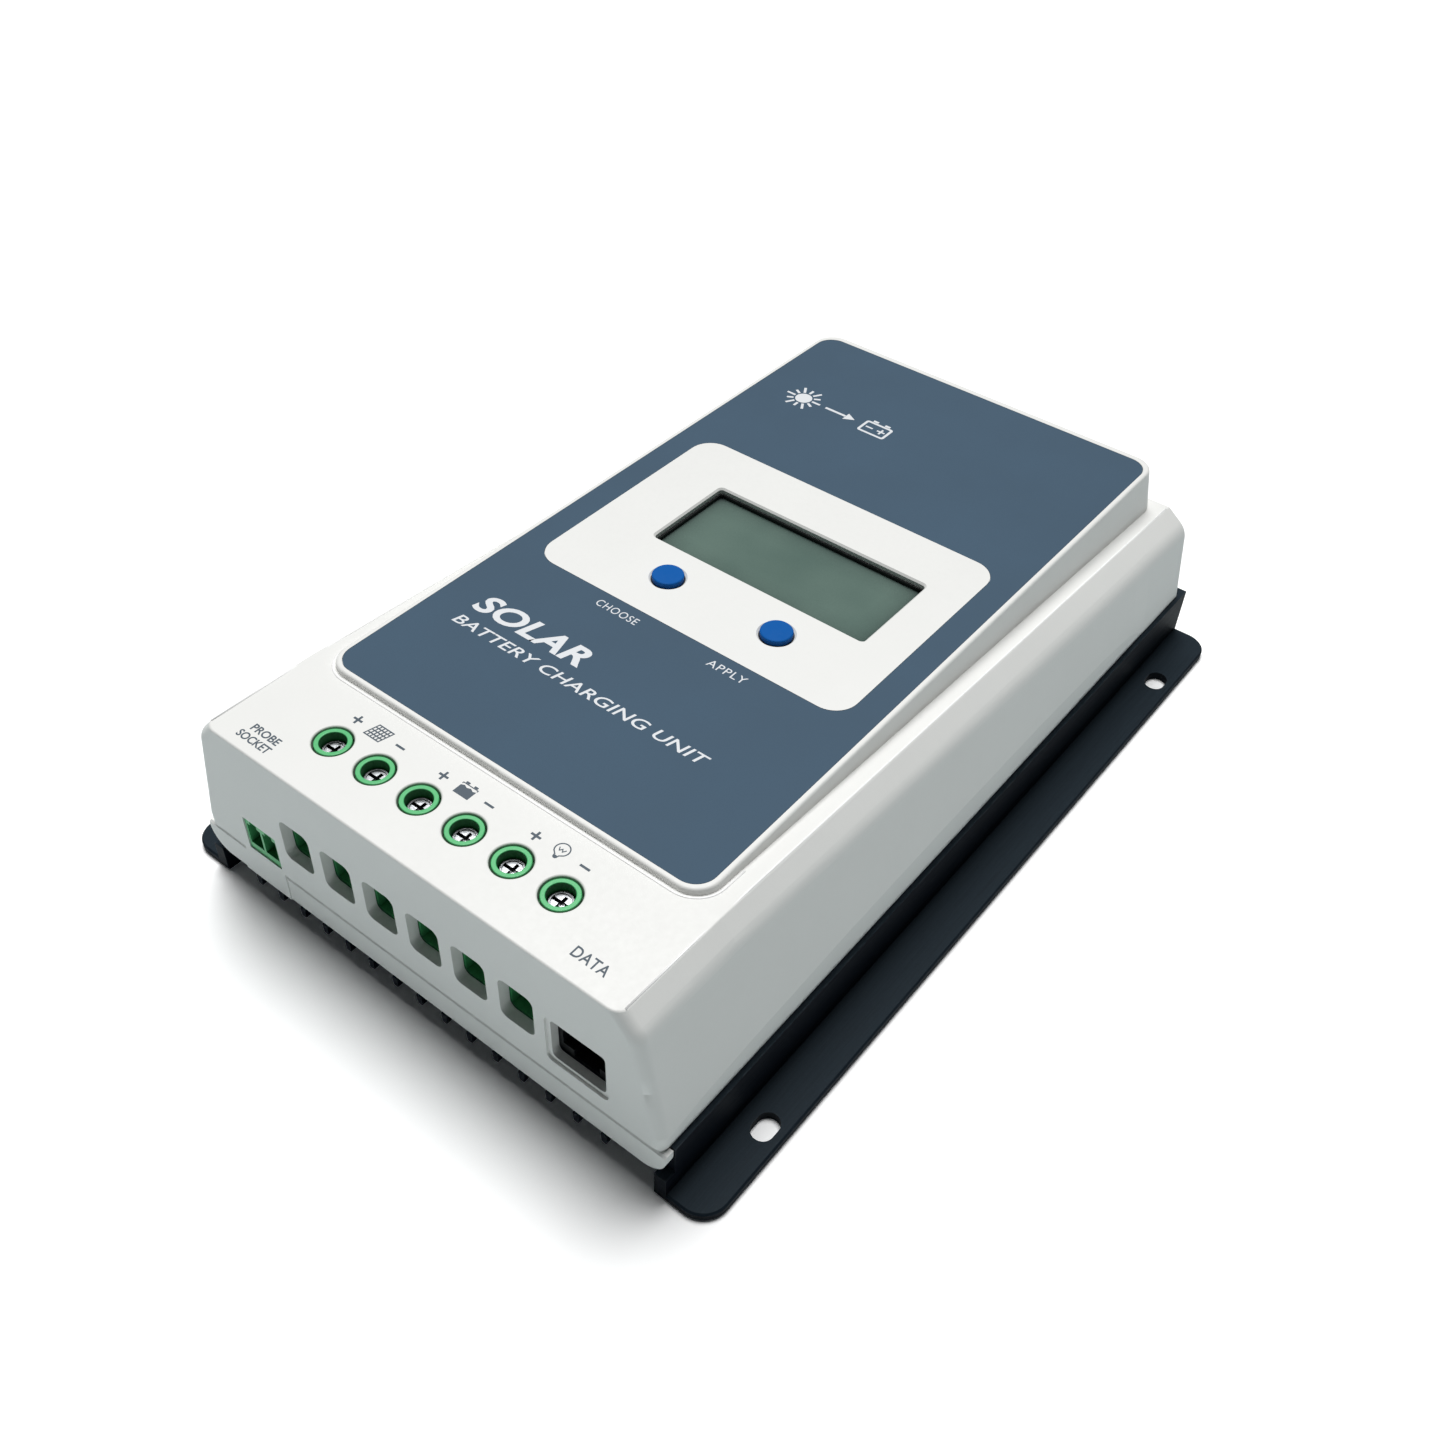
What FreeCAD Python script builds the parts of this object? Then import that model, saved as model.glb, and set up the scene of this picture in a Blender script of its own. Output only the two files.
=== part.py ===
import FreeCAD, Part
import math
import os
import re
import Sketcher

# Wall-mounted solar charge controller.  Millimetres, +Z up (away from the mounting
# surface), +Y from the terminal end to the rear, origin at the centre of the base.

os.makedirs("parts", exist_ok=True)
doc = FreeCAD.newDocument("charge_controller")
V = FreeCAD.Vector

DIMS = {
    # overall
    "body_length": 220, "body_width": 154, "front_y": -110, "rear_y": 106.5,
    # extruded heat sink
    "flange_thick": 2.2, "flange_round": 6, "rail_x": 66.7, "rail_thick": 3, "rail_top": 15,
    "plate_low": 9.5, "plate_top": 12.5, "fin_thick": 1.7, "fin_tip": 4.6, "fin_pitch": 7.3,
    "fin_count": 15, "rebate_z": 7.2, "rebate_deep": 2.7,
    "hole_x": 72.5, "hole_y": 86.2, "hole_rad": 2.5, "slot_long": 7,
    # cover, outside
    "wall": 2.2, "front_wall": 2.5, "skirt_z": 15, "belly_z": 22, "skirt_x": 65.4, "belly_x": 65.6,
    "deck_z": 50.6, "deck_x": 56.2, "deck_edge_x": 60.2, "deck_edge_z": 46.1, "slope_y": -82,
    "shoulder_x": 57, "shoulder_z": 40.4, "shoulder_edge_x": 62.9, "shoulder_edge_z": 36,
    "top_z": 52, "top_x": 51.5, "top_front": -82, "top_rear": 104.4, "top_round": 6,
    "foot_z": 34, "foot_x": 54.4, "foot_rear": 105.6, "apron_z": 7.6, "apron_x": 66.4,
    "crease_z": 14.8, "apron_round": 6, "apron_back": 0.25,
    # graphic label and display area
    "label_deep": 0.4, "label_x": 50.3, "label_front": -80.8, "label_rear": 102.4, "label_round": 5,
    "bezel_x": 43.5, "bezel_front": -25.9, "bezel_rear": 38.6, "bezel_round": 6,
    "lcd_x": 3.1, "lcd_y": 10.4, "lcd_width": 60, "lcd_long": 25.8,
    "button_left_x": -14, "button_right_x": 17, "button_y": -12.7, "button_rad": 3.75,
    "button_travel": 0.8,
    # terminals
    "pole_pitch": 12.5, "pole_shift": -1.3, "pole_y": -96.3, "collar_rad": 3.92, "collar_bore": 2.88,
    "collar_top": 50.35, "well_rad": 4.35, "window_z": 29.9, "window_width": 9, "window_tall": 11.4,
    "block_front": -107.2, "block_rear": -86, "block_top": 47.8,
    # sockets beside the terminals
    "jack_x": 45, "jack_z": 27.3, "probe_x": -45.8, "probe_z": 21.9,
    # circuit boards
    "board_low": 17, "board_thick": 1.6, "board_x": 54.6, "board_rear": 100,
    "panel_low": 42.3, "panel_x": 48, "panel_front": -26, "panel_rear": 48,
    "boss_x": 58.5, "boss_front": -60, "boss_rear": 96, "post_x": 44, "post_front": -21.5,
    "post_rear": 43.5,
}

sheet = doc.addObject("Spreadsheet::Sheet", "dims")
for row, (alias, value) in enumerate(DIMS.items(), 1):
    sheet.set("A%d" % row, alias)
    sheet.set("B%d" % row, str(value))
    sheet.setAlias("B%d" % row, alias)
doc.recompute()

NAMES = re.compile(r"\b(" + "|".join(sorted(DIMS, key=len, reverse=True)) + r")\b")
BOARD_TOP = "(board_low + board_thick)"
PANEL_TOP = "(panel_low + board_thick)"
nodes = []


def ex(text):
    """Expression in sheet aliases -> FreeCAD expression."""
    return NAMES.sub(r"dims.\1", str(text))


def num(text):
    return float(sheet.evalExpression(ex(text)))


def node(name, obj):
    obj.Label = name
    nodes.append(obj)
    return obj


def bind(obj, prop, text):
    obj.setExpression(prop, ex(text))


# ---- Part primitives with bound sizes ------------------------------------------------

def move(obj, x, y, z):
    for axis, text in zip("xyz", (x, y, z)):
        bind(obj, ".Placement.Base." + axis, text)


def box(name, x, y, z):
    """Box from (low, high) pairs of expressions."""
    obj = doc.addObject("Part::Box", name)
    for prop, (low, high) in zip(("Length", "Width", "Height"), (x, y, z)):
        bind(obj, prop, "(%s) - (%s)" % (high, low))
    move(obj, x[0], y[0], z[0])
    return obj


def rod(name, x, y, z, rad, length, along="z"):
    """Cylinder standing on (x, y, z) and running along +X, +Y or +Z."""
    obj = doc.addObject("Part::Cylinder", name)
    way = {"x": V(1, 0, 0), "y": V(0, 1, 0), "z": V(0, 0, 1)}[along]
    obj.Placement = FreeCAD.Placement(V(), FreeCAD.Rotation(V(0, 0, 1), way))
    bind(obj, "Radius", rad)
    bind(obj, "Height", length)
    move(obj, x, y, z)
    return obj


def fuse(name, *parts):
    obj = doc.addObject("Part::MultiFuse", name)
    obj.Shapes = list(parts)
    return obj


def cut(name, base, *tools):
    obj = doc.addObject("Part::Cut", name)
    obj.Base = base
    obj.Tool = tools[0] if len(tools) == 1 else fuse(name + "_tools", *tools)
    return obj


def group(name, *parts):
    """Identical pieces that share one node."""
    obj = doc.addObject("Part::Compound", name)
    obj.Links = list(parts)
    return obj


def round_edges(name, base, rad, wanted):
    doc.recompute()
    obj = doc.addObject("Part::Fillet", name)
    obj.Base = base
    size = num(rad)
    obj.Edges = [(i, size, size) for i, e in enumerate(base.Shape.Edges, 1) if wanted(e)]
    return obj


# ---- PartDesign helpers --------------------------------------------------------------

def body(name):
    return node(name, doc.addObject("PartDesign::Body", name))


def sketch(owner, name, role, offset="0"):
    sk = owner.newObject("Sketcher::SketchObject", name)
    sk.AttachmentSupport = [(next(o for o in owner.Origin.OriginFeatures if o.Role == role), "")]
    sk.MapMode = "FlatFace"
    sk.AttachmentOffset = FreeCAD.Placement(V(0, 0, num(offset)), FreeCAD.Rotation())
    bind(sk, ".AttachmentOffset.Base.z", offset)
    return sk


def pin_point(sk, geo, end, x, y):
    """Fix one end of an element at bound coordinates."""
    for kind, text in (("DistanceX", x), ("DistanceY", y)):
        index = sk.addConstraint(Sketcher.Constraint(kind, -1, 1, geo, end, num(text)))
        bind(sk, "Constraints[%d]" % index, text)


def polygon(sk, points):
    first = sk.GeometryCount
    at = [V(num(x), num(y), 0) for x, y in points]
    count = len(points)
    for i in range(count):
        sk.addGeometry(Part.LineSegment(at[i], at[(i + 1) % count]))
    for i in range(count):
        sk.addConstraint(Sketcher.Constraint("Coincident", first + i, 2, first + (i + 1) % count, 1))
        pin_point(sk, first + i, 1, *points[i])


def circle(sk, x, y, rad):
    geo = sk.addGeometry(Part.Circle(V(num(x), num(y), 0), V(0, 0, 1), num(rad)))
    pin_point(sk, geo, 3, x, y)
    index = sk.addConstraint(Sketcher.Constraint("Radius", geo, num(rad)))
    bind(sk, "Constraints[%d]" % index, rad)


def round_rect(sk, x0, x1, y0, y1, rad, corners="1111"):
    """Rectangle with rounded corners; corners runs low-left, low-right, high-right, high-left."""
    r = [rad if flag == "1" else None for flag in corners]
    ends = []
    spots = ((x0, y0, 1, 1), (x1, y0, -1, 1), (x1, y1, -1, -1), (x0, y1, 1, -1))
    for i, (x, y, sx, sy) in enumerate(spots):
        if r[i] is None:
            ends.append(((x, y), (x, y)))
            continue
        a = ("%s%s(%s)" % (x, "+" if sx > 0 else "-", rad), y)
        b = (x, "%s%s(%s)" % (y, "+" if sy > 0 else "-", rad))
        ends.append((b, a) if i in (0, 2) else (a, b))
    point = lambda p: V(num(p[0]), num(p[1]), 0)
    lines = []
    for i in range(4):
        start, stop = ends[i][1], ends[(i + 1) % 4][0]
        geo = sk.addGeometry(Part.LineSegment(point(start), point(stop)))
        pin_point(sk, geo, 1, *start)
        pin_point(sk, geo, 2, *stop)
        lines.append(geo)
    for i in range(4):
        if r[i] is None:
            continue
        x, y, sx, sy = spots[i]
        size = num(rad)
        centre = V(num(x) + sx * size, num(y) + sy * size, 0)
        start = math.pi * (1 + 0.5 * i)
        arc = Part.ArcOfCircle(Part.Circle(centre, V(0, 0, 1), size), start, start + math.pi / 2)
        geo = sk.addGeometry(arc)
        sk.addConstraint(Sketcher.Constraint("Coincident", geo, 1, lines[i - 1], 2))
        sk.addConstraint(Sketcher.Constraint("Coincident", geo, 2, lines[i], 1))
        index = sk.addConstraint(Sketcher.Constraint("Radius", geo, size))
        bind(sk, "Constraints[%d]" % index, rad)


def pad(owner, name, sk, length, kind="Pad", flip=False, middle=False, through=False, taper="0"):
    """Pad or Pocket; a pocket must really remove material and a pad add it."""
    doc.recompute()
    before = owner.Shape.Volume if not owner.Shape.isNull() else 0.0
    obj = owner.newObject("PartDesign::" + kind, name)
    obj.Profile = sk
    obj.Midplane = middle
    obj.Reversed = flip
    if through:
        obj.Type = "ThroughAll"
    else:
        bind(obj, "Length", length)
    if taper != "0":
        bind(obj, "TaperAngle", taper)
    owner.Tip = obj
    doc.recompute()
    grown = obj.Shape.Volume - before
    if (grown > 0) != (kind == "Pad"):
        raise RuntimeError("%s changed nothing: %.3f" % (name, grown))
    return obj


def loft(owner, name, first, last, kind="AdditiveLoft"):
    doc.recompute()
    obj = owner.newObject("PartDesign::" + kind, name)
    obj.Profile = first
    obj.Sections = last if isinstance(last, list) else [last]
    obj.Ruled = True
    owner.Tip = obj
    doc.recompute()
    return obj


def dress(owner, name, kind, size, wanted):
    """Fillet or Chamfer on the tip's edges that the test picks."""
    base = owner.Tip
    picked = ["Edge%d" % i for i, e in enumerate(base.Shape.Edges, 1) if wanted(e)]
    obj = owner.newObject("PartDesign::" + kind, name)
    obj.Base = (base, picked)
    bind(obj, "Radius" if kind == "Fillet" else "Size", size)
    owner.Tip = obj
    doc.recompute()
    if not picked or "Invalid" in obj.State or not obj.Shape.isValid():
        raise RuntimeError("%s failed on %d edges" % (name, len(picked)))
    return obj


def edge_box(e):
    return e.BoundBox


# ---- heat sink -----------------------------------------------------------------------

def make_heat_sink():
    b = body("heat_sink")
    sk = sketch(b, "plate_profile", "XZ_Plane")
    polygon(sk, [("-rail_x + 1", "plate_low"), ("rail_x - 1", "plate_low"),
                 ("rail_x - 1", "plate_top"), ("-rail_x + 1", "plate_top")])
    pad(b, "plate", sk, "body_length", middle=True)
    for side, tag in (("", "right"), ("-", "left")):
        outer = "%s(body_width/2)" % side
        sk = sketch(b, "rail_profile_" + tag, "XZ_Plane")
        inner, face = "%s(rail_x - rail_thick)" % side, "%srail_x" % side
        ring = [(inner, "0"), (outer, "0"), (outer, "flange_thick"), (face, "flange_thick"),
                (face, "rail_top"), (inner, "rail_top")]
        polygon(sk, ring if not side else ring[::-1])
        pad(b, "rail_" + tag, sk, "body_length", middle=True)
    # rebate that the cover's front apron hangs in
    sk = sketch(b, "rebate_outline", "XZ_Plane", "-front_y")
    polygon(sk, [("-rail_x - 0.1", "rebate_z"), ("rail_x + 0.1", "rebate_z"),
                 ("rail_x + 0.1", "rail_top + 1"), ("-rail_x - 0.1", "rail_top + 1")])
    pad(b, "rebate", sk, "rebate_deep", kind="Pocket")
    # fixing slots along Y, one near each corner
    sk = sketch(b, "mounting_slots", "XY_Plane")
    for side in ("", "-"):
        for end in ("hole_y", "-hole_y"):
            round_rect(sk, "(%shole_x - hole_rad)" % side, "(%shole_x + hole_rad)" % side,
                       "(%s - slot_long/2)" % end, "(%s + slot_long/2)" % end,
                       "(hole_rad - 0.01)")
    pad(b, "mounting", sk, "flange_thick + 1", kind="Pocket", flip=True)
    sk = sketch(b, "screw_holes", "XY_Plane", "plate_low - 0.5")
    for x in ("boss_x", "-boss_x"):
        for y in ("boss_front", "boss_rear"):
            circle(sk, x, y, "1.7")
    pad(b, "cover_screw_holes", sk, "plate_top - plate_low + 1", kind="Pocket", flip=True)
    half = num("body_width/2")
    dress(b, "flange_corners", "Fillet", "flange_round",
          lambda e: edge_box(e).ZLength > 1 and edge_box(e).YLength < 1e-6
          and edge_box(e).XLength < 1e-6 and abs(abs(edge_box(e).XMin) - half) < 1e-6)
    dress(b, "flange_lips", "Chamfer", "0.4",
          lambda e: edge_box(e).YLength > 150 and abs(abs(edge_box(e).XMin) - half) < 1e-6)


def make_fins():
    """Straight tapered fins, bonded side by side to the underside of the plate."""
    fin0 = "(-fin_pitch*(fin_count - 1)/2)"
    rebate = box("fin_rebate", ("-rail_x", "rail_x"), ("front_y - 1", "front_y + rebate_deep"),
                 ("rebate_z", "plate_low + 1"))
    fins = []
    for k in range(int(num("fin_count"))):
        fin = doc.addObject("Part::Wedge", "fin")
        for prop, text in (("Xmin", "-fin_thick*0.6"), ("Xmax", "fin_thick*0.6"),
                           ("X2min", "-fin_thick*0.36"), ("X2max", "fin_thick*0.36"),
                           ("Ymin", "0"), ("Ymax", "plate_low - fin_tip"),
                           ("Zmin", "0"), ("Zmax", "body_length"),
                           ("Z2min", "0"), ("Z2max", "body_length")):
            bind(fin, prop, text)
        fin.Placement = FreeCAD.Placement(V(), FreeCAD.Rotation(V(1, 0, 0), -90))
        move(fin, "%s + %d*fin_pitch" % (fin0, k), "-body_length/2", "plate_low")
        fins.append(cut("notched_fin", fin, rebate))
    node("heat_sink_fins", group("heat_sink_fins", *fins))


# ---- cover ---------------------------------------------------------------------------

# where the cover's side turns in above the rails, along Y
BELLY = (("front_y", "18.6"), ("-96", "20.8"), ("slope_y", "22"), ("-50", "23.5"), ("-12", "24"),
         ("30", "23.6"), ("62", "22.2"), ("78", "20"), ("86", "15.4"), ("rear_y", "15.3"))


def outline(sk, half):
    polygon(sk, half + [("-(%s)" % x, z) for x, z in half[::-1]])


def outer_section(b, name, y, belly_z):
    """Sketch of the cover's cross-section at y, from the skirt up to the deck or shoulder."""
    share = "(max(%s; slope_y) - slope_y)/(rear_y - slope_y)" % y
    blend = lambda a, b: "(%s + (%s - %s)*(%s))" % (a, b, a, share)
    sk = sketch(b, name, "XZ_Plane", "-(%s)" % y)
    outline(sk, [("skirt_x", "skirt_z"), ("belly_x", belly_z),
                 (blend("deck_edge_x", "shoulder_edge_x"), blend("deck_edge_z", "shoulder_edge_z")),
                 (blend("deck_x", "shoulder_x"), blend("deck_z", "shoulder_z"))])
    return sk


def inner_section(sk, front):
    if front:
        edge = ("deck_edge_x", "deck_edge_z", "deck_x", "deck_z")
    else:
        edge = ("shoulder_edge_x", "shoulder_edge_z", "shoulder_x", "shoulder_z")
    outline(sk, [("skirt_x - wall", "skirt_z - 6"), ("belly_x - wall", "belly_z"),
                 ("%s - wall" % edge[0], "%s - wall*0.4" % edge[1]),
                 ("%s - wall*0.5" % edge[2], "%s - wall" % edge[3])])


def pole_x(k):
    return "pole_pitch*(%s) + pole_shift" % (k - 2.5)


def make_cover():
    b = body("top_cover")
    stations = [outer_section(b, "section_%d" % i, y, z) for i, (y, z) in enumerate(BELLY[:3])]
    loft(b, "deck_block", stations[0], stations[1:])
    stations = [outer_section(b, "section_%d" % i, y, z)
                for i, (y, z) in enumerate(BELLY[2:], len(BELLY))]
    loft(b, "shoulders", stations[0], stations[1:])
    front, rear, low, top = (num(t) for t in ("front_y", "rear_y", "skirt_z", "top_z"))
    # soft crease between the chamfer and the side, softer corners, a crisper front edge
    dress(b, "side_creases", "Fillet", "6",
          lambda e: edge_box(e).YLength > 5 and edge_box(e).ZMin > num("shoulder_edge_z") - 0.1
          and edge_box(e).ZMax < num("deck_edge_z") + 0.1
          and abs(abs(edge_box(e).XMin) - 61.5) < 1.6)
    dress(b, "front_foot", "Chamfer", "0.9",
          lambda e: edge_box(e).YMax < front + 1e-6 and edge_box(e).ZMax < low + 1e-6
          and edge_box(e).XLength > 100)
    dress(b, "front_corners", "Fillet", "2.6",
          lambda e: edge_box(e).YMax < front + 1e-6 and edge_box(e).ZMax > low + 1
          and edge_box(e).XLength < 60)
    dress(b, "front_edge", "Fillet", "0.5",
          lambda e: edge_box(e).YMax < front + 1e-6 and edge_box(e).ZMin > low + 20
          and edge_box(e).XLength > 60)
    dress(b, "rear_edges", "Fillet", "0.8",
          lambda e: edge_box(e).YMin > rear - 1e-6 and edge_box(e).ZMax > low + 1)
    first = sketch(b, "plateau_foot", "XY_Plane", "foot_z")
    round_rect(first, "-foot_x", "foot_x", "(top_front - 1)", "foot_rear", "top_round")
    last = sketch(b, "plateau_rim", "XY_Plane", "top_z")
    round_rect(last, "-top_x", "top_x", "top_front", "top_rear", "top_round")
    loft(b, "plateau", first, last)
    dress(b, "rim_edge", "Fillet", "0.7",
          lambda e: edge_box(e).ZMin > top - 1e-6)
    # hollow inside
    sk = sketch(b, "deck_hollow_section", "XZ_Plane", "-front_y - front_wall")
    inner_section(sk, True)
    pad(b, "deck_hollow", sk, "slope_y - front_y - front_wall", kind="Pocket")
    first = sketch(b, "hollow_start", "XZ_Plane", "-slope_y")
    inner_section(first, True)
    last = sketch(b, "hollow_end", "XZ_Plane", "-rear_y + wall")
    inner_section(last, False)
    loft(b, "hollow", first, last, "SubtractiveLoft")
    first = sketch(b, "plateau_hollow_foot", "XY_Plane", "foot_z")
    round_rect(first, "(-foot_x + wall)", "(foot_x - wall)", "(top_front + 1)",
               "(foot_rear - wall)", "(top_round - wall)")
    last = sketch(b, "plateau_hollow_top", "XY_Plane", "top_z - wall")
    round_rect(last, "(-top_x + wall)", "(top_x - wall)", "(top_front + wall)",
               "(top_rear - wall)", "(top_round - wall)")
    loft(b, "plateau_hollow", first, last, "SubtractiveLoft")
    # front apron under the crease, its tie to the wall, a flush bridge across the crease
    # near the left end, and the rear skirt
    sk = sketch(b, "apron_outline", "XZ_Plane", "-front_y - apron_back")
    round_rect(sk, "-apron_x", "apron_x", "apron_z", "crease_z", "apron_round", "1100")
    pad(b, "apron", sk, "front_wall - apron_back", flip=True)
    crease = num("crease_z")
    dress(b, "apron_brow", "Chamfer", "0.5",
          lambda e: abs(edge_box(e).ZMin - crease) < 1e-6 and abs(edge_box(e).ZMax - crease) < 1e-6
          and edge_box(e).XLength > 100 and edge_box(e).YMax < front + 1)
    sk = sketch(b, "apron_tie_outline", "XZ_Plane", "-front_y - 0.95")
    polygon(sk, [("-skirt_x + 0.6", "crease_z - 1.5"), ("skirt_x - 0.6", "crease_z - 1.5"),
                 ("skirt_x - 0.6", "skirt_z + 2"), ("-skirt_x + 0.6", "skirt_z + 2")])
    pad(b, "apron_tie", sk, "front_wall - 0.95", flip=True)
    sk = sketch(b, "apron_bridge_outline", "XZ_Plane", "-front_y")
    polygon(sk, [("-54.8", "apron_z"), ("-40", "apron_z"), ("-40", "skirt_z + 1.6"),
                 ("-52.8", "skirt_z + 1.6")])
    pad(b, "apron_bridge", sk, "1.2", flip=True)
    sk = sketch(b, "rear_skirt_outline", "XZ_Plane", "-rear_y + wall")
    polygon(sk, [("-rail_x + rail_thick + 0.3", "plate_top + 0.2"),
                 ("rail_x - rail_thick - 0.3", "plate_top + 0.2"),
                 ("rail_x - rail_thick - 0.3", "skirt_z + 2"),
                 ("-rail_x + rail_thick + 0.3", "skirt_z + 2")])
    pad(b, "rear_skirt", sk, "wall", flip=True)
    # recess for the graphic label, with the display area left standing
    sk = sketch(b, "label_recess_outline", "XY_Plane", "top_z")
    round_rect(sk, "-label_x", "label_x", "label_front", "label_rear", "label_round")
    round_rect(sk, "-bezel_x", "bezel_x", "bezel_front", "bezel_rear", "bezel_round")
    pad(b, "label_recess", sk, "label_deep", kind="Pocket")
    # display window and button holes
    sk = sketch(b, "display_outline", "XY_Plane", "top_z")
    round_rect(sk, "(lcd_x - lcd_width/2)", "(lcd_x + lcd_width/2)", "(lcd_y - lcd_long/2)",
               "(lcd_y + lcd_long/2)", "1")
    pad(b, "display_window", sk, "wall + 2", kind="Pocket")
    sk = sketch(b, "button_holes_outline", "XY_Plane", "top_z")
    for x in ("button_left_x", "button_right_x"):
        circle(sk, x, "button_y", "button_rad + 0.3")
    pad(b, "button_holes", sk, "wall + 2", kind="Pocket")
    reach = num("bezel_x") - 2
    dress(b, "opening_lips", "Chamfer", "0.45",
          lambda e: edge_box(e).ZMin > top - 1e-6 and edge_box(e).XMin > -reach
          and edge_box(e).XMax < reach and edge_box(e).YMax < num("bezel_rear") - 2
          and edge_box(e).YMin > num("bezel_front") + 2)
    # screwdriver wells in the deck
    sk = sketch(b, "wells_outline", "XY_Plane", "deck_z")
    for k in range(6):
        circle(sk, pole_x(k), "pole_y", "well_rad")
    pad(b, "wells", sk, "wall + 2", kind="Pocket")
    deck = num("deck_z")
    dress(b, "well_lips", "Fillet", "0.45",
          lambda e: abs(edge_box(e).ZMin - deck) < 1e-6 and abs(edge_box(e).ZMax - deck) < 1e-6
          and 8 < edge_box(e).XLength < 10.5 and 8 < edge_box(e).YLength < 10.5)
    # wire windows, narrowing a little inwards
    sk = sketch(b, "windows_outline", "XZ_Plane", "-front_y")
    for k in range(6):
        round_rect(sk, "(%s - window_width/2)" % pole_x(k), "(%s + window_width/2)" % pole_x(k),
                   "(window_z - window_tall/2)", "(window_z + window_tall/2)", "1.9")
    pad(b, "windows", sk, "front_wall + 0.2", kind="Pocket", taper="-4")
    # data socket: shallow frame, then the window
    for tag, grow, deep in (("frame", "1", "0.6"), ("window", "0", "front_wall + 0.2")):
        sk = sketch(b, "jack_%s_outline" % tag, "XZ_Plane", "-front_y")
        round_rect(sk, "(jack_x - 6.8 - %s)" % grow, "(jack_x + 6.8 + %s)" % grow,
                   "(jack_z - 5.8 - %s)" % grow, "(jack_z + 5.8 + %s)" % grow, "1.4")
        pad(b, "jack_" + tag, sk, deep, kind="Pocket")
    sk = sketch(b, "probe_outline", "XZ_Plane", "-front_y")
    round_rect(sk, "(probe_x - 5.3)", "(probe_x + 5.3)", "(probe_z - 4.8)", "(probe_z + 4.8)",
               "0.5")
    pad(b, "probe_window", sk, "front_wall + 0.2", kind="Pocket")
    # screw bosses and display posts, each with a pilot hole
    sk = sketch(b, "boss_outline", "XY_Plane", "plate_top + 0.1")
    for x in ("boss_x", "-boss_x"):
        for y in ("boss_front", "boss_rear"):
            circle(sk, x, y, "3.3")
    pad(b, "bosses", sk, "shoulder_z - plate_top - 4.3")
    sk = sketch(b, "boss_pilots_outline", "XY_Plane", "plate_top + 0.1")
    for x in ("boss_x", "-boss_x"):
        for y in ("boss_front", "boss_rear"):
            circle(sk, x, y, "1.5")
    pad(b, "boss_pilots", sk, "14", kind="Pocket", flip=True)
    sk = sketch(b, "post_outline", "XY_Plane", PANEL_TOP)
    for x in ("post_x", "-post_x"):
        for y in ("post_front", "post_rear"):
            circle(sk, x, y, "2.6")
    pad(b, "posts", sk, "top_z - wall + 0.3 - %s" % PANEL_TOP)
    sk = sketch(b, "post_pilots_outline", "XY_Plane", PANEL_TOP)
    for x in ("post_x", "-post_x"):
        for y in ("post_front", "post_rear"):
            circle(sk, x, y, "1.1")
    pad(b, "post_pilots", sk, "5.4", kind="Pocket", flip=True)


def make_label():
    b = body("overlay_label")
    sk = sketch(b, "label_outline", "XY_Plane", "top_z - label_deep")
    gap = "0.08"
    round_rect(sk, "(-label_x + %s)" % gap, "(label_x - %s)" % gap, "(label_front + %s)" % gap,
               "(label_rear - %s)" % gap, "label_round")
    round_rect(sk, "(-bezel_x - %s)" % gap, "(bezel_x + %s)" % gap, "(bezel_front - %s)" % gap,
               "(bezel_rear + %s)" % gap, "bezel_round")
    pad(b, "label", sk, "label_deep - 0.03")


# ---- display and buttons -------------------------------------------------------------

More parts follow.
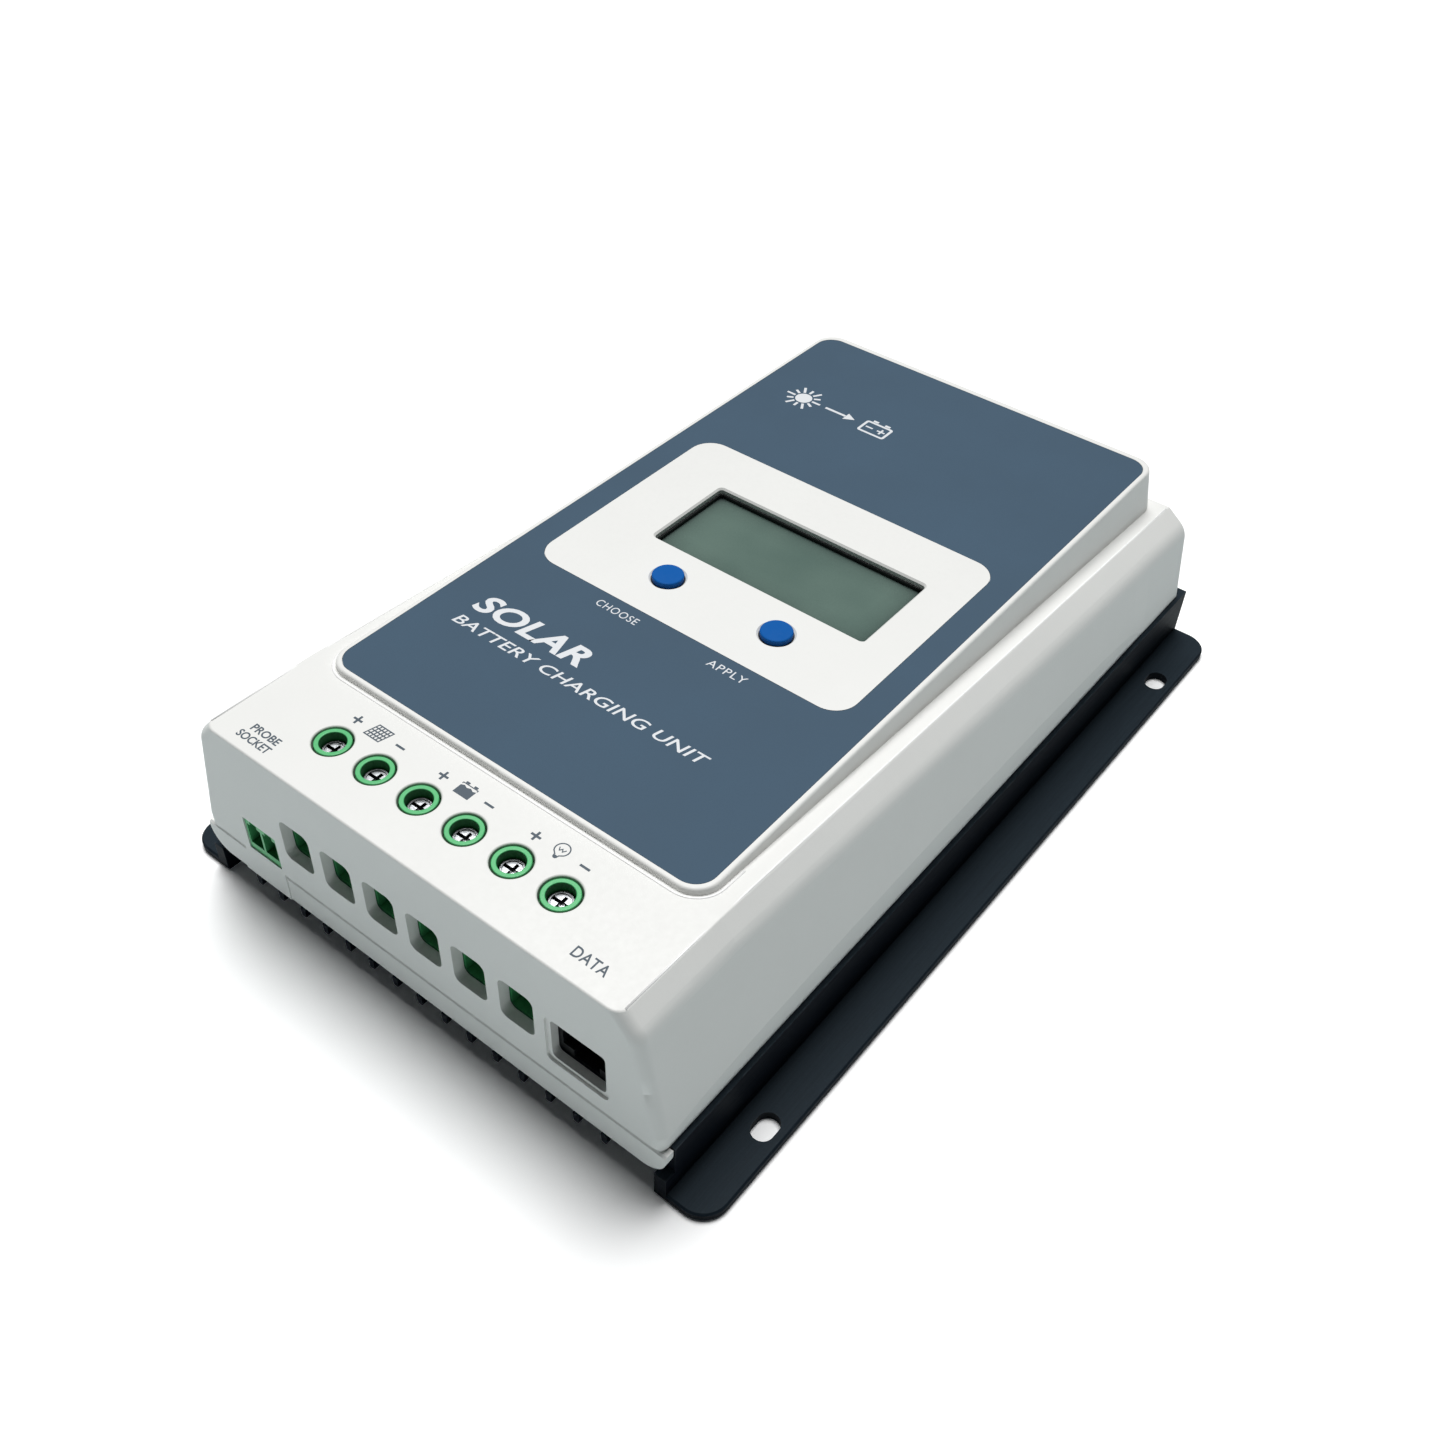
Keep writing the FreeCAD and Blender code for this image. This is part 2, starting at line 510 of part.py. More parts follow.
def make_display():
    glass_low = "(top_z - wall - 2.7)"
    node("lcd_glass", box("lcd_glass", ("lcd_x - lcd_width/2 - 3", "lcd_x + lcd_width/2 + 3"),
                          ("lcd_y - lcd_long/2 - 3", "lcd_y + lcd_long/2 + 3"),
                          (glass_low, "top_z - wall - 0.3")))
    tray = box("tray", ("lcd_x - lcd_width/2 - 4.4", "lcd_x + lcd_width/2 + 4.4"),
               ("lcd_y - lcd_long/2 - 4.4", "lcd_y + lcd_long/2 + 4.4"),
               (PANEL_TOP, "top_z - wall - 1.2"))
    seat = box("tray_seat", ("lcd_x - lcd_width/2 - 3.1", "lcd_x + lcd_width/2 + 3.1"),
               ("lcd_y - lcd_long/2 - 3.1", "lcd_y + lcd_long/2 + 3.1"),
               (glass_low, "top_z"))
    node("lcd_backlight", cut("lcd_backlight", tray, seat))
    board = box("panel", ("-panel_x", "panel_x"), ("panel_front", "panel_rear"),
                ("panel_low", PANEL_TOP))
    holes = [rod("panel_hole_%d%d" % (i, j), x, y, "panel_low - 1", "1.4", "board_thick + 2")
             for i, x in enumerate(("post_x", "-post_x"))
             for j, y in enumerate(("post_front", "post_rear"))]
    node("display_board", cut("display_board", board, *holes))
    for side in ("left", "right"):
        x = "button_%s_x" % side
        case = box("switch_shell_" + side, (x + " - 3.1", x + " + 3.1"),
                   ("button_y - 3.1", "button_y + 3.1"), (PANEL_TOP, PANEL_TOP + " + 3.5"))
        bore = rod("switch_bore_" + side, x, "button_y", PANEL_TOP + " + 0.6", "1.8", "3.5")
        node("switch_case_" + side, cut("switch_" + side, case, bore))
        node("switch_plunger_" + side,
             rod("switch_plunger_" + side, x, "button_y", PANEL_TOP + " + 0.9 + button_travel",
                 "1.74", "top_z - wall - 1.1 - %s - 0.9 - button_travel" % PANEL_TOP))
        b = body("button_" + side)
        sk = sketch(b, "button_profile_" + side, "XZ_Plane")
        low, lip = "top_z - wall - 1.1", "top_z - wall - 0.05"
        polygon(sk, [("0", low), ("button_rad + 1.2", low), ("button_rad + 1.2", lip),
                     ("button_rad", lip), ("button_rad", "top_z + 0.72"),
                     ("button_rad - 0.1", "top_z + 0.87"), ("button_rad - 0.3", "top_z + 0.97"),
                     ("0", "top_z + 1.05")])
        turn = b.newObject("PartDesign::Revolution", "button_turn_" + side)
        turn.Profile = sk
        turn.ReferenceAxis = (sk, ["V_Axis"])
        turn.Angle = 360
        b.Tip = turn
        move(b, x, "button_y", "0")


# ---- terminals -----------------------------------------------------------------------

def make_pole(k):
    n = k + 1
    x = pole_x(k)
    span = lambda half: ("%s - %s" % (x, half), "%s + %s" % (x, half))
    block = box("block_%d" % n, span("6.15"), ("block_front", "block_rear"),
                (BOARD_TOP, "block_top"))
    collar = rod("collar_%d" % n, x, "pole_y", "block_top - 1", "collar_rad",
                 "collar_top - block_top + 1")
    chamber = box("chamber_%d" % n, span("4.5"), ("pole_y - 4.9", "pole_y + 4.9"),
                  ("window_z - 6", "window_z + 15.5"))
    entry = box("entry_%d" % n, span("4.05"), ("block_front - 1", "pole_y"),
                ("window_z - 5.1", "window_z + 5.1"))
    leg_slot = box("leg_slot_%d" % n, span("3.3"), ("pole_y", "pole_y + 8.3"),
                   (BOARD_TOP + " - 1", "window_z + 5.8"))
    neck = rod("neck_%d" % n, x, "pole_y", "window_z + 15", "2.06", "2")
    bore = rod("bore_%d" % n, x, "pole_y", "window_z + 16.1", "collar_bore", "8")
    shell = fuse("shell_%d" % n, block, collar)
    solid = cut("housing_%d" % n, shell, chamber, entry, leg_slot, neck, bore)
    mouth = round_edges("housing_edges_%d" % n, solid, "0.2",
                        lambda e: abs(edge_box(e).ZMin - num("collar_top")) < 1e-6
                        and edge_box(e).XLength > 5)
    node("terminal_housing_%d" % n, mouth)

    shank = rod("shank_%d" % n, x, "pole_y", "window_z + 5.6", "1.96", "11")
    head = rod("head_%d" % n, x, "pole_y", "window_z + 16.15", "2.5", "2.1")
    head_top = "window_z + 18.25"
    dish = rod("dish_%d" % n, x, "pole_y", head_top + " - 0.25", "2.15", "1")
    slot = box("slot_%d" % n, span("2.15"), ("pole_y - 0.4", "pole_y + 0.4"),
               (head_top + " - 1.3", head_top + " + 1"))
    cross = box("cross_%d" % n, span("0.4"), ("pole_y - 1.6", "pole_y + 1.6"),
                (head_top + " - 1.3", head_top + " + 1"))
    node("terminal_screw_%d" % n, cut("screw_%d" % n, fuse("screw_blank_%d" % n, shank, head),
                                      dish, slot, cross))

    frame = box("cage_frame_%d" % n, span("4.2"), ("pole_y - 4", "pole_y + 4"),
                ("window_z - 5.3", "window_z + 9.5"))
    eye = box("cage_eye_%d" % n, span("3.35"), ("pole_y - 5", "pole_y + 5"),
              ("window_z - 4.15", "window_z + 7.7"))
    tapping = rod("cage_thread_%d" % n, x, "pole_y", "window_z + 7", "2.03", "4")
    node("terminal_cage_%d" % n, cut("cage_%d" % n, frame, eye, tapping))

    bar = box("bar_%d" % n, span("3.1"), ("pole_y - 4.7", "pole_y + 8.1"),
              ("window_z + 4.3", "window_z + 5.5"))
    leg = box("leg_%d" % n, span("3.1"), ("pole_y + 6.9", "pole_y + 8.1"),
              (BOARD_TOP, "window_z + 5"))
    tines = [box("tine_%d_%d" % (n, i), ("%s + %s" % (x, a), "%s + %s + 1.6" % (x, a)),
                 ("pole_y + 6.9", "pole_y + 8.1"), ("board_low - 1.2", BOARD_TOP + " + 1"))
             for i, a in enumerate(("-3.1", "1.5"))]
    node("terminal_bar_%d" % n, fuse("busbar_%d" % n, bar, leg, *tines))


# ---- sockets -------------------------------------------------------------------------

def make_sockets():
    case = box("jack_case", ("jack_x - 7.9", "jack_x + 7.9"), ("block_front", "-89"),
               (BOARD_TOP, "jack_z + 5.8"))
    throat = box("jack_throat", ("jack_x - 5.95", "jack_x + 5.95"), ("block_front - 1", "-94"),
                 ("jack_z - 3.4", "jack_z + 3.7"))
    latch = box("jack_latch", ("jack_x - 3.2", "jack_x + 3.2"), ("block_front - 1", "-96"),
                ("jack_z - 5.2", "jack_z - 3"))
    node("data_jack", cut("data_jack", case, throat, latch))
    wires = []
    for i in range(8):
        x = "jack_x + 1.02*(%s)" % (i - 3.5)
        wire = box("contact_%d" % i, (x + " - 0.22", x + " + 0.22"),
                   ("block_front + 1.2", "block_front + 9"), ("jack_z + 3.3", "jack_z + 3.65"))
        drop = box("contact_drop_%d" % i, (x + " - 0.22", x + " + 0.22"),
                   ("block_front + 6.4", "block_front + 9"), ("jack_z + 2.2", "jack_z + 3.4"))
        wires.append(fuse("contact_wire_%d" % i, wire, drop))
    node("data_contacts", group("data_contacts", *wires))

    face, back = "front_y + 0.3", "front_y + 13.5"
    wide = ("probe_x - 5.15", "probe_x + 5.15")
    lip = box("probe_lip", wide, (face, "block_front"), ("probe_z - 4.65", "probe_z + 4.65"))
    rear = box("probe_rear", wide, ("block_front", back), (BOARD_TOP, "probe_z + 4.65"))
    case = fuse("probe_case", lip, rear)
    chambers = [box("probe_chamber_%d" % i, ("probe_x + %s" % a, "probe_x + %s + 4.25" % a),
                    (face + " - 1", face + " + 8.5"), ("probe_z - 2.9", "probe_z + 3"))
                for i, a in enumerate(("-4.6", "0.35"))]
    keys = [box("probe_key_%d" % i, ("probe_x + %s - 1.1" % a, "probe_x + %s + 1.1" % a),
                (face + " - 1", face + " + 8.5"), ("probe_z + 2.5", "probe_z + 4"))
            for i, a in enumerate(("(-2.475)", "2.475"))]
    pins, bores = [], []
    for i, a in enumerate(("-2.42", "2.42")):
        side = ("probe_x + (%s) - 0.45" % a, "probe_x + (%s) + 0.45" % a)
        high = ("probe_z - 0.45", "probe_z + 0.45")
        run = box("probe_pin_run_%d" % i, side, (face + " + 5.6", face + " + 14.5"), high)
        drop = box("probe_pin_drop_%d" % i, side, (face + " + 13.6", face + " + 14.5"),
                   ("board_low - 1.2", "probe_z"))
        pins.append(fuse("probe_pin_%d" % i, run, drop))
        bores.append(box("probe_pin_bore_%d" % i, side, (face + " + 7", back + " + 1"), high))
    node("probe_header", cut("probe_header", case, *chambers, *keys, *bores))
    node("probe_pins", group("probe_pins", *pins))


# ---- main board and what stands on it ------------------------------------------------

STAND = [("50", "-74"), ("-50", "-74"), ("50", "12"), ("-50", "12"), ("50", "92"), ("-50", "92")]


def make_main_board():
    blank = box("main_blank", ("-board_x", "board_x"), ("block_front + 0.2", "board_rear"),
                ("board_low", BOARD_TOP))
    holes = [rod("main_hole_%d" % i, x, y, "board_low - 1", "1.6", "board_thick + 2")
             for i, (x, y) in enumerate(STAND)]
    for k in range(6):
        for i, a in enumerate(("-3.15", "1.45")):
            holes.append(box("main_slot_%d_%d" % (k, i),
                             ("%s + %s" % (pole_x(k), a), "%s + %s + 1.7" % (pole_x(k), a)),
                             ("pole_y + 6.85", "pole_y + 8.15"),
                             ("board_low - 1", BOARD_TOP + " + 1")))
    for i, a in enumerate(("-2.42", "2.42")):
        holes.append(rod("main_pin_hole_%d" % i, "probe_x + (%s)" % a, "front_y + 14.35",
                         "board_low - 1", "0.7", "board_thick + 2"))
    node("main_board", cut("main_board", blank, *holes))
    posts = []
    for i, (x, y) in enumerate(STAND):
        post = rod("standoff_%d" % i, x, y, "plate_top", "3", "board_low - plate_top")
        bore = rod("standoff_bore_%d" % i, x, y, "plate_top + 0.3", "1.26", "10")
        posts.append(cut("standoff_post_%d" % i, post, bore))
    node("board_standoffs", group("board_standoffs", *posts))


def pan_screw(tag, x, y, seat, up, head_rad, head_tall, shank_rad, length):
    """Cross-recess pan head screw; up is +1 when the head is on top."""
    head_low = seat if up > 0 else "(%s) - %s" % (seat, head_tall)
    shank_low = "(%s) - %s" % (seat, length) if up > 0 else seat
    head = rod("head_" + tag, x, y, head_low, head_rad, head_tall)
    shank = rod("shank_" + tag, x, y, shank_low, shank_rad, length)
    face = "(%s) + %s" % (seat, head_tall) if up > 0 else "(%s) - %s" % (seat, head_tall)
    deep = ("%s - 1" % face, "%s + 1" % face)
    arms = [box("arm_%s_%d" % (tag, i), ("%s - %s" % (x, a), "%s + %s" % (x, a)),
                ("%s - %s" % (y, b), "%s + %s" % (y, b)), deep)
            for i, (a, b) in enumerate((("1.6", "0.35"), ("0.35", "1.6")))]
    return cut("screw_" + tag, fuse("blank_" + tag, head, shank), *arms)


def make_screws():
    corners = [(x, y) for x in ("boss_x", "-boss_x") for y in ("boss_front", "boss_rear")]
    node("cover_screws", group("cover_screws", *[
        pan_screw("cover_%d" % i, x, y, "plate_low", -1, "2.8", "2", "1.45", "15")
        for i, (x, y) in enumerate(corners)]))
    node("board_screws", group("board_screws", *[
        pan_screw("board_%d" % i, x, y, BOARD_TOP, 1, "2.6", "1.8", "1.22", "5.6")
        for i, (x, y) in enumerate(STAND)]))
    corners = [(x, y) for x in ("post_x", "-post_x") for y in ("post_front", "post_rear")]
    node("display_screws", group("display_screws", *[
        pan_screw("display_%d" % i, x, y, "panel_low", -1, "2.3", "1.6", "1.06", "6.5")
        for i, (x, y) in enumerate(corners)]))


def make_inductor():
    x, y = "-24", "-52"
    low = num(BOARD_TOP)
    node("inductor_base", rod("inductor_base", x, y, BOARD_TOP, "17.5", "1.5"))
    ring = rod("core_ring", x, y, BOARD_TOP + " + 3.4", "15.5", "13")
    eye = rod("core_eye", x, y, BOARD_TOP + " + 2", "8.5", "17")
    core = cut("core", ring, eye)
    node("inductor_core", round_edges("inductor_core", core, "1.2", lambda e: True))
    # one closed turn of enamelled wire round the core, repeated about its axis
    wire, inner, outer, bottom, top = 0.8, 7.55, 16.45, low + 2.45, low + 17.35
    bend = 2.0
    corners = [V(inner, 0, bottom), V(outer, 0, bottom), V(outer, 0, top), V(inner, 0, top)]
    edges = []
    for i in range(4):
        before, here, after = corners[i - 1], corners[i], corners[(i + 1) % 4]
        a = here + (before - here).normalize() * bend
        c = here + (after - here).normalize() * bend
        centre = a + c - here
        middle = centre + (here - centre).normalize() * bend
        beyond = after + (here - after).normalize() * bend
        edges += [Part.Arc(a, middle, c).toShape(), Part.LineSegment(c, beyond).toShape()]
    path = Part.Wire(edges)
    start = edges[1].Vertexes[0].Point
    ring = Part.Wire(Part.makeCircle(wire, start, (edges[1].Vertexes[1].Point - start)))
    turn = path.makePipeShell([ring], True, True)
    if turn.ShapeType != "Solid":
        turn = Part.Solid(Part.Shell(turn.Faces))
    turns = []
    for i in range(18):
        copy = turn.copy()
        copy.rotate(V(0, 0, 0), V(0, 0, 1), 20 * i + 10)
        turns.append(copy)
    winding = doc.addObject("Part::Feature", "inductor_winding")
    winding.Shape = Part.Compound(turns)
    winding.Placement = FreeCAD.Placement(V(num(x), num(y), 0), FreeCAD.Rotation())
    node("inductor_winding", winding)


def make_components():
    for n, (x, y) in enumerate((("-32", "78"), ("-12", "78"), ("8", "78")), 1):
        b = body("capacitor_%d" % n)
        sk = sketch(b, "can_profile_%d" % n, "XZ_Plane")
        tall = BOARD_TOP + " + 25"
        polygon(sk, [("0", BOARD_TOP), ("8.2", BOARD_TOP), ("9", BOARD_TOP + " + 0.8"),
                     ("9", BOARD_TOP + " + 3"), ("8.4", BOARD_TOP + " + 3.7"),
                     ("9", BOARD_TOP + " + 4.4"), ("9", tall + " - 0.8"), ("8.2", tall),
                     ("7.2", tall), ("7.2", tall + " - 0.3"), ("0", tall + " - 0.3")])
        turn = b.newObject("PartDesign::Revolution", "can_turn_%d" % n)
        turn.Profile = sk
        turn.ReferenceAxis = (sk, ["V_Axis"])
        turn.Angle = 360
        b.Tip = turn
        move(b, x, y, "0")
    pad_top = "plate_top + 0.4"
    node("thermal_pad", box("thermal_pad", ("-44", "44"), ("28", "56"), ("plate_top", pad_top)))
    for n, x in enumerate(("-30", "0", "30"), 1):
        tab = box("tab_%d" % n, (x + " - 5", x + " + 5"), ("34", "50"), (pad_top, pad_top + " + 1.2"))
        hole = rod("tab_hole_%d" % n, x, "46.8", "plate_top", "1.8", "4")
        case = box("epoxy_%d" % n, (x + " - 5", x + " + 5"), ("34", "43.2"),
                   (pad_top + " + 1.2", "board_low - 0.1"))
        legs = []
        for i, a in enumerate(("-2.54", "0", "2.54")):
            side = ("%s + (%s) - 0.4" % (x, a), "%s + (%s) + 0.4" % (x, a))
            legs.append(box("leg_run_%d_%d" % (n, i), side, ("30.6", "34.5"),
                            (pad_top + " + 1.9", pad_top + " + 2.4")))
            legs.append(box("leg_rise_%d_%d" % (n, i), side, ("30.6", "31.2"),
                            (pad_top + " + 1.9", "board_low")))
        node("power_switch_%d" % n,
             fuse("power_switch_%d" % n, cut("drilled_%d" % n, tab, hole), case, *legs))
    chip = box("chip", ("14", "28"), ("-24", "-10"), (BOARD_TOP + " + 0.1", BOARD_TOP + " + 1.6"))
    feet = []
    for i in range(12):
        a = "%s" % (1.5 + i)
        low = (BOARD_TOP, BOARD_TOP + " + 0.7")
        feet.append(box("foot_x_%d" % i, ("14 + %s - 0.2" % a, "14 + %s + 0.2" % a),
                        ("-25.2", "-8.8"), low))
        feet.append(box("foot_y_%d" % i, ("12.8", "29.2"),
                        ("-24 + %s - 0.2" % a, "-24 + %s + 0.2" % a), low))
    node("control_chip", fuse("control_chip", chip, *feet))
    arch = box("arch", ("4", "30"), ("-62", "-54"), (BOARD_TOP, BOARD_TOP + " + 6"))
    under = box("under_arch", ("7.5", "26.5"), ("-63", "-53"), (BOARD_TOP + " - 1", BOARD_TOP + " + 4.6"))
    node("shunt_strap", cut("shunt_strap", arch, under))


def make_ribbon():
    """Flat cable in a C from the display board's socket down to the main board's."""
    x0, x1 = num("-28"), num("-14")
    top, low = num("panel_low - 1.5"), num(BOARD_TOP + " + 1.5")
    start, run, bend, thick = 41.2, 50.0, 5.0, 0.5
    out = run + bend
    k = bend * math.sqrt(0.5)
    pts = [V(0, start, top), V(0, run, top), V(0, run + k, top - bend + k), V(0, out, top - bend),
           V(0, out, low + bend), V(0, run + k, low + bend - k), V(0, run, low), V(0, start, low)]
    path = Part.Wire([Part.LineSegment(pts[0], pts[1]).toShape(), Part.Arc(*pts[1:4]).toShape(),
                      Part.LineSegment(pts[3], pts[4]).toShape(), Part.Arc(*pts[4:7]).toShape(),
                      Part.LineSegment(pts[6], pts[7]).toShape()])
    half = thick / 2
    rim = [V(x0, start, top - half), V(x1, start, top - half), V(x1, start, top + half),
           V(x0, start, top + half)]
    face = Part.makePolygon(rim + rim[:1])
    cable = doc.addObject("Part::Feature", "ribbon_cable")
    cable.Shape = path.makePipeShell([face], True, False)
    node("ribbon_cable", cable)
    sockets = []
    for tag, z in (("upper", ("panel_low - 3", "panel_low")),
                   ("lower", (BOARD_TOP, BOARD_TOP + " + 3"))):
        case = box("socket_case_" + tag, ("-30", "-12"), ("36", "43"), z)
        mid = "((%s) + (%s))/2" % z
        mouth = box("socket_mouth_" + tag, ("-28.1", "-13.9"), ("41.2", "44"),
                    (mid + " - 0.28", mid + " + 0.28"))
        sockets.append(cut("ribbon_socket_" + tag, case, mouth))
    node("ribbon_sockets", group("ribbon_sockets", *sockets))


make_heat_sink()
make_fins()
make_cover()
make_label()
make_display()
for k in range(6):
    make_pole(k)
make_sockets()
make_main_board()
make_screws()
make_inductor()
make_components()
make_ribbon()
doc.recompute()

for obj in doc.Objects:
    if "Invalid" in obj.State or "Error" in obj.State:
        raise RuntimeError("%s is in state %s" % (obj.Label, obj.State))
for obj in nodes:
    shape = obj.Shape
    if shape.isNull() or not shape.isValid() or not shape.Solids:
        raise RuntimeError("%s has no valid solid" % obj.Label)
    shape.exportStep("parts/%s.step" % obj.Label)
print("%d nodes written" % len(nodes))
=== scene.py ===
import math

import bmesh
import bpy
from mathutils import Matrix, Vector
from mathutils.bvhtree import BVHTree


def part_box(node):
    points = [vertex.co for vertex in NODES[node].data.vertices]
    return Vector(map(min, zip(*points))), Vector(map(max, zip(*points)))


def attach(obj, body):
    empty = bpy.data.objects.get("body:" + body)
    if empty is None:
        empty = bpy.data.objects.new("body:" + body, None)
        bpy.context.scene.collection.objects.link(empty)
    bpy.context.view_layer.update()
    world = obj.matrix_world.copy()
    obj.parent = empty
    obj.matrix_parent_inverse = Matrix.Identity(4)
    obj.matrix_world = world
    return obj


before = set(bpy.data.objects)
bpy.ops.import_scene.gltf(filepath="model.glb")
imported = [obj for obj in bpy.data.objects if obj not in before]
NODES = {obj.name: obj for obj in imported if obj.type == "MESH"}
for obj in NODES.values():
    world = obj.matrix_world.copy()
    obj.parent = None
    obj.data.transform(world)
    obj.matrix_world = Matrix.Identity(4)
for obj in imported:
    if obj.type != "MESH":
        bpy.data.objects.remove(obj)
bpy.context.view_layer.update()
MM = 0.001
BODY = "controller"
LABEL_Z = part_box("overlay_label")[1].z / MM
PRINT = 0.03  # thickness of the printed signs and words, in mm
CLEAR = 1.02  # keeps crossing printed lines just apart, as a share of their width
BEAD_ROOT = 0.05  # depth of a bead's foot below the cover's surface, in mm
COVER = BVHTree.FromObject(NODES["top_cover"], bpy.context.evaluated_depsgraph_get())


# ---------------------------------------------------------------- node materials

def srgb(r, g, b):
    """Linear colour of an 8-bit display colour."""
    def lin(c):
        c /= 255.0
        return c / 12.92 if c <= 0.04045 else ((c + 0.055) / 1.055) ** 2.4
    return (lin(r), lin(g), lin(b), 1.0)


class Finish:
    """One material, with short names for the nodes that all of them are made of."""

    def __init__(self, name):
        self.mat = bpy.data.materials.new(name)
        self.mat.use_nodes = True
        self.tree = self.mat.node_tree
        self.tree.nodes.clear()
        self.out = self.add("ShaderNodeOutputMaterial")
        self.bsdf = self.add("ShaderNodeBsdfPrincipled")
        self.link(self.bsdf.outputs["BSDF"], self.out.inputs["Surface"])
        self.coords = self.add("ShaderNodeTexCoord").outputs["Object"]

    def add(self, kind):
        return self.tree.nodes.new(kind)

    def link(self, a, b):
        self.tree.links.new(a, b)

    def feed(self, socket, value):
        if isinstance(value, bpy.types.NodeSocket):
            self.link(value, socket)
        else:
            socket.default_value = value

    def set(self, **values):
        for key, value in values.items():
            self.bsdf.inputs[key.replace("_", " ")].default_value = value

    def stretched(self, scale, turn=(0, 0, 0)):
        node = self.add("ShaderNodeMapping")
        node.inputs["Scale"].default_value = scale
        node.inputs["Rotation"].default_value = turn
        self.link(self.coords, node.inputs["Vector"])
        return node.outputs["Vector"]

    def noise(self, scale, detail=3.0, rough=0.5, vector=None):
        node = self.add("ShaderNodeTexNoise")
        node.inputs["Scale"].default_value = scale
        node.inputs["Detail"].default_value = detail
        node.inputs["Roughness"].default_value = rough
        self.link(vector or self.coords, node.inputs["Vector"])
        return node.outputs["Fac"]

    def cells(self, scale, feature="F1", vector=None):
        node = self.add("ShaderNodeTexVoronoi")
        node.feature = feature
        node.inputs["Scale"].default_value = scale
        self.link(vector or self.coords, node.inputs["Vector"])
        return node.outputs["Distance"]

    def span(self, value, low, high, to_low=0.0, to_high=1.0):
        node = self.add("ShaderNodeMapRange")
        node.clamp = True
        self.link(value, node.inputs["Value"])
        for key, number in (("From Min", low), ("From Max", high),
                            ("To Min", to_low), ("To Max", to_high)):
            node.inputs[key].default_value = number
        return node.outputs["Result"]

    def maths(self, kind, a, b=0.5):
        node = self.add("ShaderNodeMath")
        node.operation = kind
        self.feed(node.inputs[0], a)
        self.feed(node.inputs[1], b)
        return node.outputs[0]

    def mix(self, share, a, b, kind="MIX"):
        node = self.add("ShaderNodeMix")
        node.data_type = "RGBA"
        node.blend_type = kind
        self.feed(node.inputs[0], share)
        self.feed(node.inputs[6], a)
        self.feed(node.inputs[7], b)
        return node.outputs[2]

    def hollows(self, reach):
        """0 in corners and slots, 1 in the open."""
        node = self.add("ShaderNodeAmbientOcclusion")
        node.samples = 4
        node.inputs["Distance"].default_value = reach
        return node.outputs["AO"]

    def edges(self, reach):
        """Low along outer edges, 1 elsewhere."""
        node = self.add("ShaderNodeAmbientOcclusion")
        node.samples = 4
        node.inside = True
        node.inputs["Distance"].default_value = reach
        return node.outputs["AO"]

    def upward_light_mask(self):
        """1 on faces that look up, 0 on walls and undersides: a mask for painted light from above.
        """
        node = self.add("ShaderNodeSeparateXYZ")
        self.link(self.add("ShaderNodeNewGeometry").outputs["Normal"], node.inputs[0])
        return self.span(node.outputs["Z"], 0.5, 0.9)

    def bump(self, height, depth, strength=1.0):
        node = self.add("ShaderNodeBump")
        node.inputs["Distance"].default_value = depth
        node.inputs["Strength"].default_value = strength
        self.link(height, node.inputs["Height"])
        previous = self.bsdf.inputs["Normal"]
        if previous.is_linked:
            self.link(previous.links[0].from_socket, node.inputs["Normal"])
        self.link(node.outputs["Normal"], previous)

    def colour(self, value):
        self.feed(self.bsdf.inputs["Base Color"], value)

    def rough(self, value):
        self.feed(self.bsdf.inputs["Roughness"], value)


def shade(colour, factor):
    return tuple(c * factor for c in colour[:3]) + (1.0,)


def moulded(name, colour, rough, grain=3800, depth=0.00002, mottle=0.06, dust_and_shade=0.3, reach=0.004):
    """Injection-moulded plastic: eroded grain, slight flow mottling, and corners darkened by dust
    and by painted shade.
    """
    f = Finish(name)
    flow = f.noise(38, 4, 0.6)
    patch = f.span(flow, 0.3, 0.7)
    base = f.mix(patch, shade(colour, 1 - mottle), shade(colour, 1 + mottle * 0.4))
    fine = f.noise(grain, 2, 0.6)
    base = f.mix(f.span(fine, 0.35, 0.75, 0.0, 0.35), base, shade(colour, 1 - mottle * 1.6))
    if dust_and_shade:
        # Painted shade with some dust: hollows and corners are darkened towards 0.3 of the colour.
        corner_darkening = f.span(f.hollows(reach), 0.15, 0.75, dust_and_shade, 0.0)
        base = f.mix(corner_darkening, base, shade(colour, 0.3))
    f.colour(base)
    f.rough(f.span(f.noise(900, 3), 0.3, 0.7, rough - 0.06, rough + 0.08))
    f.bump(fine, depth, 0.5)
    f.bump(f.cells(grain * 0.45, "SMOOTH_F1"), depth * 1.5, 0.35)
    f.set(IOR=1.5)
    return f


def metal(name, colour, rough, brushed=(1, 1, 1), grain=2500, tarnish=0.35):
    """Plated metal: fine drawn lines, small scratches and dull patches."""
    f = Finish(name)
    lines = f.noise(grain, 3, 0.6, f.stretched(brushed))
    blotch = f.noise(420, 4, 0.6)
    base = f.mix(f.span(lines, 0.3, 0.7), shade(colour, 0.82), colour)
    base = f.mix(f.span(blotch, 0.5, 0.75, 0.0, tarnish), base, shade(colour, 0.42))
    # Painted shade: slots and recesses are darkened almost to black.
    recess_shade = f.span(f.hollows(0.0016), 0.45, 0.85, 0.97, 0.0)
    f.colour(f.mix(recess_shade, base, shade(colour, 0.03)))
    f.rough(f.span(blotch, 0.3, 0.75, rough, rough + 0.22))
    f.bump(lines, 0.00002, 0.6)
    scratch = f.cells(700, "DISTANCE_TO_EDGE", f.stretched((1, 5, 1), (0.3, 0.2, 0.7)))
    f.bump(f.span(scratch, 0.0, 0.03), 0.00001, 0.5)
    f.set(Metallic=1.0)
    return f


WHITE = srgb(241, 241, 238)
BEAD_HIGHLIGHT = srgb(253, 253, 252)
LABEL = srgb(74, 96, 115)
GREEN = srgb(88, 196, 124)
BLACK = srgb(10, 12, 15)
INK = srgb(66, 80, 92)


